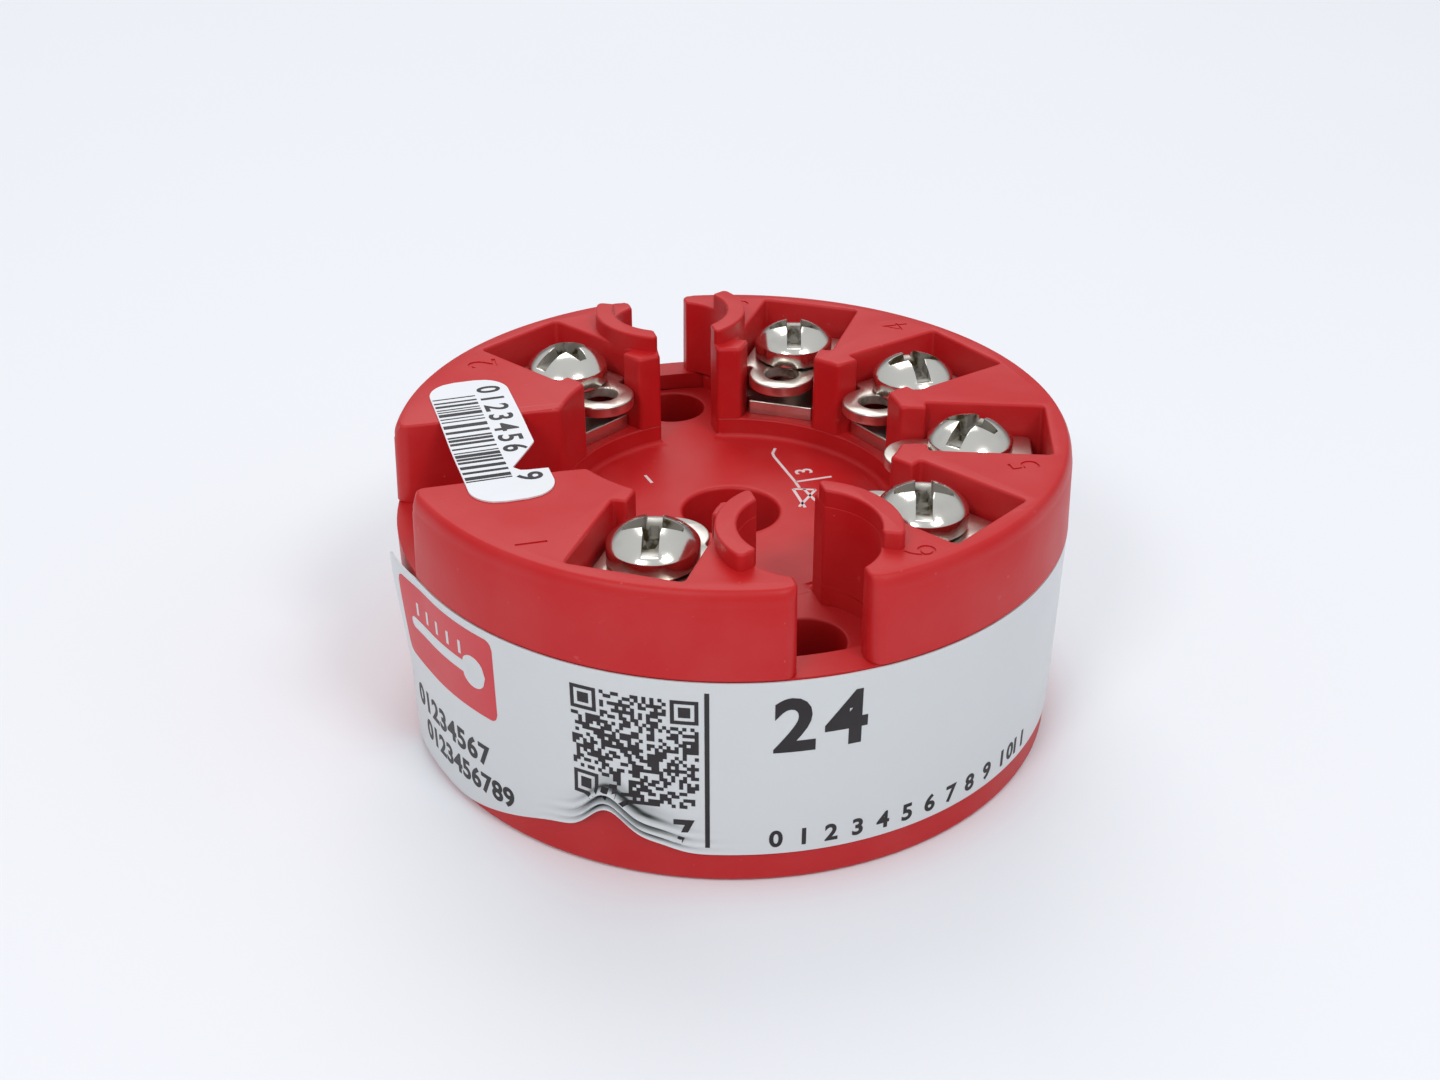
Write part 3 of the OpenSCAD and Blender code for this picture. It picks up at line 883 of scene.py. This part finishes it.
# Painted shade: a point attribute darkens the film's colour in its creases and above the buckle, where shade
# falls.
add, link = new_nodes(film.node_tree)
base_colour = film.node_tree.nodes["Principled BSDF"].inputs["Base Color"]
crease_shade_node = add("ShaderNodeAttribute", attribute_name="crease_shade")
shade = add("ShaderNodeMix", data_type="RGBA")
shade.inputs["B"].default_value = painted_crease_colour
link(crease_shade_node.outputs["Fac"], shade.inputs["Factor"])
link(base_colour.links[0].from_socket, shade.inputs["A"])
link(shade.outputs["Result"], base_colour)
label = make_piece("wrap_film", [(np.concatenate([outside.reshape(-1, 3), inside.reshape(-1, 3)]),
                                  [quads, quads[:, ::-1] + count, rim_quads])],
                   film, "housing", "label_film", "wrap_label", sharp=60)
# Painted shade along the creases: how far the film's colour is darkened at each point.
crease_shade = bells(z - label_low(angle), *shade_bells) * bells(angle, shade_fade)
crease_shade = np.clip(crease_shade, 0, 1).ravel()
label.data.attributes.new("crease_shade", "FLOAT", "POINT").data.foreach_set("value", np.r_[crease_shade, crease_shade])


# Print on the label. Black and red ink on the film: plain numbers in counting order, a scale, a
# random pattern of squares with a line beside it, and a red block with a thermometer on it.
def patch(x0, x1, y0, y1, step=0.5):
    """Flat rectangle as a grid of quads no wider than step: points and faces."""
    x, y = (np.linspace(a, b, max(2, math.ceil(abs(b - a) / step) + 1)) for a, b in ((x0, x1), (y0, y1)))
    return np.stack(np.meshgrid(x, y, indexing="ij"), -1).reshape(-1, 2), grid_faces(len(x), len(y))


ink_t = 0.02
label_mean_r = 22


def on_label(start, base):
    """Place on the label for flat print: x runs round the film from an angle, y up from a height."""
    return lambda x, y, lift: label_surface(start + np.degrees(x / label_mean_r), base + y, lift)


def round_patch(width, height, radius, steps=6):
    """Flat rectangle with round corners about its centre, as columns of quads: at x, the half
    height is h - r + sqrt(r^2 - d^2), with d the distance into the corner."""
    end = width / 2
    x = np.r_[np.linspace(-end, -end + radius, steps), np.linspace(-end, end, 24)[3:-3],
              np.linspace(end - radius, end, steps)]
    d = np.clip(np.abs(x) - (end - radius), 0, radius)
    half = height / 2 - radius + np.sqrt(radius ** 2 - d ** 2)
    share = np.linspace(-1, 1, 15)
    points = np.stack([np.repeat(x[:, None], len(share), 1), half[:, None] * share], -1).reshape(-1, 2)
    return points, grid_faces(len(x), len(share))


ring_reach = np.abs(np.arange(7) - 3)
ring_shape = np.isin(np.maximum.outer(ring_reach, ring_reach), (0, 1, 3))


def cells(side, pitch, seed):
    """Flat squares of a random pattern: a seeded generator fills half of the cells, and three
    corners carry a ring with a square in it."""
    chance = np.random.default_rng(seed)
    filled = chance.random((side, side)) < 0.5
    size, last = len(ring_shape), side - len(ring_shape)
    for row, column in ((0, 0), (0, last), (last, 0)):
        filled[max(row - 1, 0):row + size + 1, max(column - 1, 0):column + size + 1] = False
        filled[row:row + size, column:column + size] = ring_shape
    column, row = np.nonzero(filled.T)
    corner = np.array([(0, 0), (1, 0), (1, 1), (0, 1)])
    points = (np.column_stack([column, side - 1 - row])[:, None] + corner).reshape(-1, 2) * pitch
    return points, np.arange(len(points)).reshape(-1, 4)


ink_black, ink_black_dust = (0.022, 0.018, 0.020, 1), (0.05, 0.045, 0.048, 1)
black_ink = plastic("black_ink", ink_black, ink_black_dust, roughness=0.42, mottle=0.3, scratches=0.1,
                    strength=0.06)
ink_red, ink_red_dust = (0.62, 0.045, 0.055, 1), (0.66, 0.10, 0.11, 1)
red_ink = plastic("red_ink", ink_red, ink_red_dust, roughness=0.38, mottle=0.2, scratches=0.1,
                  strength=0.06)
# Numbers as (digits, height, angle of the first one, height above the table, pitch).
print_rows = [("01234567", 1.5, 189.5, 4.25, 1.17), ("0123456789", 1.4, 192, 2.05, 1.03),
              ("24", 3.5, 264, 9.75, 3.1), ("7", 1.7, 247.2, 3.0, 1.0)]
scale_start, scale_turn, scale_digit = 261.5, 4.4, 1.15
print_low = 2.75
print_rows += [(str(k), scale_digit, scale_start + k * scale_turn, print_low, 1.0) for k in range(12)]
matrix_side, matrix_pitch, matrix_seed = 33, 0.232, 5
matrix_corner = (229.8, 5.55)
rule_angle, rule_w, rule_h = 250.6, 0.28, 11.05
printed = [(flat_text(digits, size, pitch, 0.5), on_label(start, base))
           for digits, size, start, base, pitch in print_rows]
printed.append((cells(matrix_side, matrix_pitch, matrix_seed), on_label(*matrix_corner)))
printed.append((patch(0, rule_w, 0, rule_h, 0.3), on_label(rule_angle, print_low)))
make_piece("label_ink", [thin_sheet(flat, place, ink_t, -ink_t) for flat, place in printed], black_ink,
           "housing", "label_film", sharp=60)
block_place = on_label(201.3, 11.0)
block_size = (10.6, 5.8, 0.6)
make_piece("label_red", [thin_sheet(round_patch(*block_size), block_place, ink_t, -ink_t)],
           red_ink, "housing", "label_film", sharp=60)
tube_size, tube_x = (7.2, 0.8, 0.39), -0.4
bulb_size, bulb_x = (2.2, 2.2, 1.08), 3.4
tick_half_w, tick_half_h = 0.12, 0.45
tick_x, tick_y, tick_pitch = -3.0, 1.25, 1.3
marks = [(round_patch(*tube_size), tube_x, 0), (round_patch(*bulb_size), bulb_x, 0)]
marks += [(patch(-tick_half_w, tick_half_w, -tick_half_h, tick_half_h), tick_x + k * tick_pitch, tick_y)
          for k in range(5)]
make_piece("label_marks", [thin_sheet((points + (x, y), faces), block_place, 2 * ink_t, 0)
                           for (points, faces), x, y in marks], film, "housing", "label_film", sharp=60)


# Sticker. White paper with round ends, glued over the wire channel, sagging a little there. A
# corner is torn off at the centre side. Its bars are random and its numbers plain.
sticker_centre = (-15.5, 1.2)
sticker_turn = 2.5
sticker_left, sticker_right = -2.65, 2.58
sticker_half = 8.72
sticker_corner = 1.95
sticker_t = 0.10
sticker_rise = 0.012
sag, sag_margin = 0.16, 0.3
tear_v = (-5.24, -5.16, -5.0, -4.54, -1.23, -1.15)
tear_u = (2.58, 0.95, 0.85, 0.51, 2.54, 2.58)


def sticker_place(u, v, lift):
    """Point of the sticker's underside, u across and v along it: turned, moved, and lowered by a
    raised cosine of y over the channel; lift is added to the height."""
    flat = turned(np.column_stack([u, v]), sticker_turn) + sticker_centre
    over = np.clip(np.abs(flat[:, 1]) / (channel_half + sag_margin), 0, 1)
    lowered = sag * (0.5 + 0.5 * np.cos(math.pi * over))
    return np.column_stack([flat, top_z + sticker_rise - lowered + lift])


straight = sticker_half - sticker_corner
v = np.r_[np.linspace(-sticker_half, -straight, 14)[:-1], np.linspace(-straight, straight, 120),
          np.linspace(straight, sticker_half, 14)[1:]]
into_corner = np.clip(np.abs(v) - straight, 0, sticker_corner)
cut_back = sticker_corner - np.sqrt(sticker_corner ** 2 - into_corner ** 2)
left_u = sticker_left + cut_back
right_u = np.minimum(np.interp(v, tear_v, tear_u), sticker_right - cut_back)
share = np.linspace(0, 1, 9)
u = left_u[:, None] + (right_u - left_u)[:, None] * share
quads = np.roll(grid_faces(len(v), len(share))[:, ::-1], 1, 1)
sheet = np.column_stack([u.ravel(), np.repeat(v, len(share))])
paper_white, paper_dust = (0.82, 0.84, 0.87, 1), (0.72, 0.70, 0.69, 1)
paper = plastic("sticker_paper", paper_white, paper_dust, roughness=0.50, mottle=0.22, scratches=0.1,
                strength=0.10)
make_piece("sticker", [thin_sheet((sheet, quads), sticker_place, sticker_t, 0)], paper, "housing",
           "sticker_paper", "barcode_sticker", sharp=50)

bar_seed = 11
bar_widths = (0.14, 0.2, 0.3, 0.42)
bar_count = 90
bar_first, bar_last = 6.5, -6.3
bar_margin, bar_right = 0.08, 0.25
digit_first, digit_pitch, digit_h, digit_u = 7.0, 1.45, 1.5, 0.55
tear_margin, digit_needs = 0.12, 0.9
ink_top, ink_low = sticker_t + 0.012, sticker_t - 0.02
chance = np.random.default_rng(bar_seed)
edges = bar_first - np.cumsum(chance.choice(bar_widths, bar_count))
bars = [(low, high) for high, low in zip(edges[:-2:2], edges[1::2]) if low > bar_last]
inked = [patch(sticker_left + bar_margin, bar_right, low, high, 1.0) for low, high in bars]
for k, word in enumerate("0123456789"):
    points, triangles = flat_text(word, digit_h, 1.0, weight=0.02)
    across, along = digit_u + points[:, 1], digit_first - digit_pitch * k - points[:, 0]
    kept = np.interp(along, tear_v, tear_u) - tear_margin
    if (kept > digit_needs).all():
        inked.append((np.column_stack([np.minimum(across, kept), along]), triangles))
make_piece("sticker_ink", [thin_sheet(flat, sticker_place, ink_top, ink_low) for flat in inked], black_ink,
           "housing", "sticker_paper", sharp=50)


# Terminal plates. Nickel-plated brass: a plate in each bay, with a tongue to the mouth, a
# tapped sleeve under it and a leg down to the board.
def lathe(profile, centre=(0, 0), count=48):
    """Closed shell of a profile of (radius, height) that runs from the axis at the top, down the
    outside, to the axis at the bottom, carried once round an upright axis."""
    points = carried_round(profile[1:-1], centre, count)
    j = np.arange(count)
    after, last, poles = (j + 1) % count, len(points) - count, np.full((2, count), len(points))
    top_fan = np.column_stack([poles[0], j, after])
    low_fan = np.column_stack([poles[1] + 1, last + after, last + j])
    points = np.concatenate([points, [(*centre, profile[0][1]), (*centre, profile[-1][1])]])
    return points, [ring_faces(len(profile) - 2, count), top_fan, low_fan]


def drill(u, radius, top, bottom, lip):
    """Cutter for a round hole at u on the X axis, widening over lip at both faces."""
    turn = np.radians((0, 30, 60, 90))
    widening = radius + lip * (1 - np.sin(turn))
    sunk = lip * (1 - np.cos(turn))
    profile = [(0, top + 1), (radius + lip, top + 1)]
    profile += list(zip(widening, top - sunk)) + list(zip(widening[::-1], bottom + sunk[::-1]))
    profile += [(radius + lip, bottom - 1), (0, bottom - 1)]
    return lathe(profile, (u, 0), 40)


def swung(shell, degrees, move=(0, 0, 0)):
    """Shell turned about the upright axis through the origin and moved."""
    points, groups = shell
    return np.hstack([turned(points[:, :2], degrees), points[:, 2:]]) + move, groups


def plated_surface():
    """Node group for bright nickel plating: colour = base, darkened towards the stain colour where the mesh
    paints shade and grime, and mottled by slow noise; metallic falls and roughness rises with that painted
    shade and grime; height = fine hammering."""
    group, tools, given, made = surface_group("plated_surface", (
        ("Base", "Color", "INPUT", (0.72, 0.70, 0.64, 1)),
        ("StainAndShade", "Color", "INPUT", (0.10, 0.085, 0.05, 1)), ("ShadeAndGrime", "Float", "INPUT", 0.0),
        ("Roughness", "Float", "INPUT", 0.18), ("Metallic", "Float", "OUTPUT", None)))
    add, link, noise, window, maths = tools
    patches = maths("MULTIPLY", given["ShadeAndGrime"], window(noise(900, 3), 0.45, 0.75, 0.45))
    dirt_and_shade = maths("ADD", patches, maths("MULTIPLY", given["ShadeAndGrime"], 0.75), clamp=True)
    shade = add("ShaderNodeMix", data_type="RGBA")
    link(maths("ADD", dirt_and_shade, window(noise(400, 2), 0.5, 0.8, 0.16), clamp=True), shade.inputs["Factor"])
    link(given["Base"], shade.inputs["A"])
    link(given["StainAndShade"], shade.inputs["B"])
    link(shade.outputs["Result"], made["Color"])
    link(maths("ADD", given["Roughness"], maths("MULTIPLY", dirt_and_shade, 0.5), clamp=True), made["Roughness"])
    link(maths("SUBTRACT", 1.0, dirt_and_shade), made["Metallic"])
    hammering = maths("ADD", window(noise(1500, 2), 0.3, 0.7, 0.6), window(noise(5000, 1), 0.3, 0.7, 0.3))
    link(hammering, made["Height"])
    return group


plated_group = plated_surface()


def plated(name, base, stain, roughness):
    """Material of nickel plating. Its painted shade and grime come from the mesh's own attribute."""
    values = {"Base": base, "StainAndShade": stain, "Roughness": roughness}
    material, surface, add, link = surfaced(name, plated_group, values, 1.0, 0.1, 0.15, 0.02)
    shade_and_grime = add("ShaderNodeAttribute", attribute_name="shade_and_grime")
    link(shade_and_grime.outputs["Fac"], surface.inputs["ShadeAndGrime"])
    return material


bright_tone, satin_tone = (0.76, 0.735, 0.67, 1), (0.67, 0.63, 0.57, 1)
# The stain colour is also the painted shade in the screws' recesses and the clamps' eyes.
nickel_stain_and_shade = (0.045, 0.033, 0.012, 1)
nickel = plated("bright_nickel", bright_tone, nickel_stain_and_shade, roughness=0.17)
satin_nickel = plated("satin_nickel", satin_tone, nickel_stain_and_shade, roughness=0.30)

plate_t = 1.0
plate_top = seat_z + plate_t
plate_half = 3.2
plate_in, plate_out = 12.75, 19.85
tongue_in, tongue_half = 11.95, 2.375
sleeve_in, sleeve_out = 1.5, 2.2
leg_in, leg_out, leg_half, leg_low = 18.05, 18.65, 0.6, 7.0
plate_corners = (0.3, 0.3, 0.1, 0.15, 0.15, 0.1, 0.3, 0.3)
sheet_fillet, sheet_foot = 0.09, 0.05
plate_lip = 0.12
sleeve_low, sleeve_fillet = seat_z - 0.8, 0.1
leg_fillet, leg_foot, leg_corner = 0.05, 0.1, 0.1
overlap = 0.05
corners = [(plate_out, -plate_half), (plate_out, plate_half), (plate_in, plate_half),
           (plate_in, tongue_half), (tongue_in, tongue_half), (tongue_in, -tongue_half),
           (plate_in, -tongue_half), (plate_in, -plate_half)]
plate_path = polygon(corners, plate_corners, 6)
leg = [(leg_in, -leg_half), (leg_out, -leg_half), (leg_out, leg_half), (leg_in, leg_half)]
leg_path = polygon(leg, (leg_corner,) * 4)
plate = carve(block(lambda z: plate_path, plate_top, seat_z, sheet_fillet, sheet_foot, 3),
              [drill(screw_ring_r, sleeve_in, plate_top, seat_z, plate_lip)])
sleeve = ring([(sleeve_in, sleeve_low), (sleeve_in, seat_z + overlap), (sleeve_out, seat_z + overlap),
               (sleeve_out, sleeve_low + sleeve_fillet), (sleeve_out - sleeve_fillet, sleeve_low)],
              (screw_ring_r, 0), 40)
leg_shell = block(lambda z: leg_path, seat_z + overlap, leg_low, leg_fillet, leg_foot, 3)
for k, angle in enumerate(terminal_angles, 1):
    parts = [swung(shell, angle) for shell in (plate, sleeve, leg_shell)]
    make_piece(f"fixed_plate_{k}", parts, satin_nickel, "housing", "nickel", f"terminal_plate_{k}")


# Wire clamps. Loose nickel-plated steel plates that the screws press on the wires. Each has a
# round lug with an eye at the mouth, and a hole for its screw's shank.
clamp_low, clamp_high = (np.array(corner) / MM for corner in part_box("wire_clamp_4"))
clamp_in, clamp_out, clamp_half = 12.75, 19.55, 3.2
lug_u, lug_r, eye_r, bore_r = 12.2, 2.3, 1.15, 1.5
lug_turn = math.degrees(math.acos((clamp_in - lug_u) / lug_r))
lug_v = lug_r * math.sin(math.radians(lug_turn))
clamp_corners = (0.45, 0.5, 0.3, 0.3, 0.5, 0.45)
clamp_fillet, clamp_foot = 0.13, 0.1
eye_lip, bore_lip = 0.16, 0.1
eye_shade, eye_shade_reach, unshaded_rim = 0.75, 0.05, 0.12
corners = [(clamp_in, -lug_v), (clamp_in, -clamp_half), (clamp_out, -clamp_half), (clamp_out, clamp_half),
           (clamp_in, clamp_half), (clamp_in, lug_v)]
sides = [line(a, b) for a, b in zip(corners, corners[1:])]
lug = arc((lug_u, 0), lug_r, lug_turn, 360 - lug_turn, 41)
clamp_path = rounded(sides[2:] + [lug] + sides[:2], clamp_corners, 7)
clamp = carve(block(lambda z: clamp_path, clamp_high[2], clamp_low[2], clamp_fillet, clamp_foot, 4),
              [drill(lug_u, eye_r, clamp_high[2], clamp_low[2], eye_lip),
               drill(screw_ring_r, bore_r, clamp_high[2], clamp_low[2], bore_lip)])
# Painted shade: inside the eye, below its rim, the clamp is darkened towards the stain colour, as shade
# falls into the hole.
from_eye = np.hypot(clamp[0][:, 0] - lug_u, clamp[0][:, 1])
in_eye = (from_eye < eye_r + eye_shade_reach) & (clamp[0][:, 2] < clamp_high[2] - unshaded_rim)
clamp_eye_shade = np.where(in_eye, eye_shade, 0.0)
for k, angle in enumerate(terminal_angles, 1):
    piece = make_piece(f"loose_clamp_{k}", [swung(clamp, angle)], satin_nickel, f"clamp_{k}", "nickel",
                       f"wire_clamp_{k}")
    piece.data.attributes.new("shade_and_grime", "FLOAT", "POINT").data.foreach_set("value", clamp_eye_shade)


# Terminal screws. Nickel-plated steel with a low dome, a slot across it and a cross recess,
# and a threaded shank. Each turns in its plate's sleeve and carries its clamp.
screw_low, screw_high = (np.array(corner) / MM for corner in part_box("terminal_screw_4"))
head_top, shank_low = screw_high[2], screw_low[2]
head_r = 2.75
dome_h = 1.35
band_h = 1.2
dome_r = (head_r ** 2 + dome_h ** 2) / (2 * dome_h)
dome_z = head_top - dome_r
band_top = head_top - dome_h
band_low = band_top - band_h
dome_margin, shoulder, shoulder_drop, band_fillet = 0.1, 0.14, 0.06, 0.16
slot_w, slot_reach, slot_d = 1.0, 3.4, 1.05
cross_reach, cross_half, cross_d, cross_taper = (2.15, 1.0), (0.62, 0.36), 1.5, 0.5
recess_bevel = 0.05
slot_turns = (72, 29, 73, 88, 40, 70)
# Painted shade with some grime in the screws' recesses: it lies on faces sunk deeper than recess_depth and
# thins out towards the slot's open, lit ends.
recess_depth, slot_lit_from, slot_lit_to, shank_grime = 0.06, 1.5, 2.2, 0.25
thread_pitch, thread_root, thread_h, tip_r = 0.5, 1.17, 0.28, 1.02
wedge_overrun = 0.6


def threaded(top, bottom):
    """Closed shell of a screw thread: r = root + h |2 frac(z / pitch - a / 2 pi) - 1|, at most
    the tip's radius + height above the tip, so that the tip is drawn in."""
    a = np.linspace(0, 2 * math.pi, 36, endpoint=False)
    z = np.linspace(top, bottom, 90)[:, None]
    r = thread_root + thread_h * np.abs(2 * ((z / thread_pitch - a / (2 * math.pi)) % 1) - 1)
    r = np.minimum(r, tip_r + (z - bottom))
    return stacked(np.stack([r * np.cos(a), r * np.sin(a), np.broadcast_to(z, r.shape)], -1))


def wedge(along, across, depth, taper=0.0, degrees=0.0):
    """Closed shell of a recess across the axis, as rings of four points: at the head's top it
    reaches along[0] and across[0] to each side, at its depth along[1] and across[1], and it runs
    on upwards at that slope. At a share s of the reach its width is 1 - taper s^2 of that."""
    low, high = head_top - depth, head_top + wedge_overrun
    grow = 1 + wedge_overrun / depth
    reach, half = (pair[1] + (pair[0] - pair[1]) * np.array((0, 0, grow, grow)) for pair in (along, across))
    s = np.linspace(1, -1, 13)[:, None]
    y = np.array((-1, 1, 1, -1)) * half * (1 - taper * s ** 2)
    z = np.broadcast_to((low, low, high, high), y.shape)
    return swung(stacked(np.stack([s * reach, y, z], -1)), degrees)


tilt = np.linspace(0.03, math.asin((head_r - dome_margin) / dome_r), 24)
dome = [(0, head_top)] + list(zip(dome_r * np.sin(tilt), dome_z + dome_r * np.cos(tilt)))
dome += edge_arc(head_r - shoulder, band_top - shoulder_drop, shoulder, 40, 0, 3)
dome += [(head_r, band_low + band_fillet), (head_r - band_fillet, band_low), (0, band_low)]
cross = (cross_reach, cross_half, cross_d, cross_taper)
head = carve(lathe(dome, count=64), [wedge((slot_reach,) * 2, (slot_w / 2,) * 2, slot_d), wedge(*cross),
                                     wedge(*cross, 90)], recess_bevel)
shank = threaded(band_low + overlap, shank_low)


def recess_grime(mesh, turn, move):
    """Painted shade and grime for each corner of each face: 1 on the recesses' walls and floors, which are
    the faces whose middle lies under the dome, less towards the slot's ends, which lie open to the light,
    some on the shank, else 0."""
    points, middles = read(mesh.vertices, "co", 3), read(mesh.polygons, "center", 3)
    corners, totals = read(mesh.loops, "vertex_index", kind=int), read(mesh.polygons, "loop_total", kind=int)
    across = turned((points / MM - move)[:, :2], -turn)[:, 0]
    x, y, z = (middles / MM - move).T
    reach = np.hypot(x, y)
    depth = dome_z + np.sqrt(np.clip(dome_r ** 2 - reach ** 2, 0, None)) - z
    sunk = (reach < head_r - dome_margin) & (depth > recess_depth) & (z > band_low + overlap)
    recess, below = np.repeat(sunk, totals), np.repeat(z < band_low - overlap, totals)
    darkened = 1 - smooth(np.abs(across[corners]), slot_lit_from, slot_lit_to)
    return np.where(recess, darkened, np.where(below, shank_grime, 0.0))


for k, (angle, turn) in enumerate(zip(terminal_angles, slot_turns), 1):
    move = (*turned(np.array([screw_ring_r, 0.0]), angle), 0)
    piece = make_piece(f"domed_screw_{k}", [swung(head, turn, move), swung(shank, turn, move)], nickel,
                       f"screw_{k}", "nickel", f"terminal_screw_{k}")
    # Painted shade and grime: the heads' recesses are darkened towards the stain colour.
    shade_and_grime = piece.data.attributes.new("shade_and_grime", "FLOAT", "CORNER")
    shade_and_grime.data.foreach_set("value", recess_grime(piece.data, turn, move))


# Print on the centre floor. Thin white lines of a small wiring diagram and a plain number, in
# ink that stands a hair over the raised disc.
ink_white, ink_white_dust = (0.80, 0.70, 0.70, 1), (0.62, 0.35, 0.35, 1)
white_ink = plastic("white_ink", ink_white, ink_white_dust, roughness=0.45, mottle=0.5, scratches=0.1,
                    strength=0.05)


def stroke(points, width):
    """Flat band along a path in the plane: each point gives one on either side, half the width
    away along the normal of its neighbours' chord."""
    path = np.asarray(points, float)
    chord = np.gradient(path, axis=0)
    side = np.column_stack([-chord[:, 1], chord[:, 0]])
    side *= width / 2 / np.linalg.norm(side, axis=1, keepdims=True)
    count = len(path)
    i = np.arange(count - 1)
    return np.concatenate([path + side, path - side]), np.column_stack([i + count, i + count + 1, i + 1, i])


def on_floor(x, y, lift):
    """Point on the raised disc."""
    return np.column_stack([x, y, np.full(len(x), disc_z + lift)])


wiring = (((5.45, 7.9), (5.05, 7.2), (5.0, 6.7)), ((5.0, 6.7), (5.3, 2.75)), ((5.3, 2.75), (5.32, 1.75)),
          ((5.35, 2.65), (7.95, 2.75)), ((4.85, 1.7), (6.3, 1.2)), ((4.85, 1.7), (4.85, -1.0)),
          ((6.3, 1.2), (4.5, -0.8)), ((5.55, 1.5), (5.8, -0.3)), ((-4.4, 6.3), (-4.2, 5.1)))
wiring_w = 0.2
wiring_digit_h, wiring_digit_place = 1.2, (6.9, 4.0)
floor_ink_top, floor_ink_low = 0.015, -0.02
drawn = [stroke(points, wiring_w) for points in wiring]
number, triangles = flat_text("3", wiring_digit_h, 1.0, weight=0.012)
drawn.append((turned(number, 90) + wiring_digit_place, triangles))
make_piece("floor_print", [thin_sheet(flat, on_floor, floor_ink_top, floor_ink_low) for flat in drawn],
           white_ink, "housing", "cover_plastic", sharp=50)


# Inner parts. The board of green laminate and the larger parts soldered to it, which the cup
# hides. They keep their CAD solids, and each gets the finish of its kind.
inner_looks = (
    ("board_laminate", ("circuit_board",), (0.03, 0.16, 0.06, 1), 0.35, 0.0),
    ("package_black", ("processor_chip", "converter_chip", "voltage_regulator", "isolation_transformer"),
     (0.03, 0.03, 0.032, 1), 0.55, 0.0),
    ("can_aluminium", ("filter_capacitors",), (0.55, 0.56, 0.58, 1), 0.3, 1.0))
for slot, nodes, colour, roughness, metallic in inner_looks:
    worn = tuple(min(1.0, c * 1.3 + 0.02) for c in colour[:3]) + (1.0,)
    look = plastic(slot, colour, worn, roughness, mottle=0.3, scratches=0.2, strength=0.12,
                   metallic=metallic)
    for node in nodes:
        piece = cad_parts[node]
        piece.data.materials.clear()
        piece.data.materials.append(look)
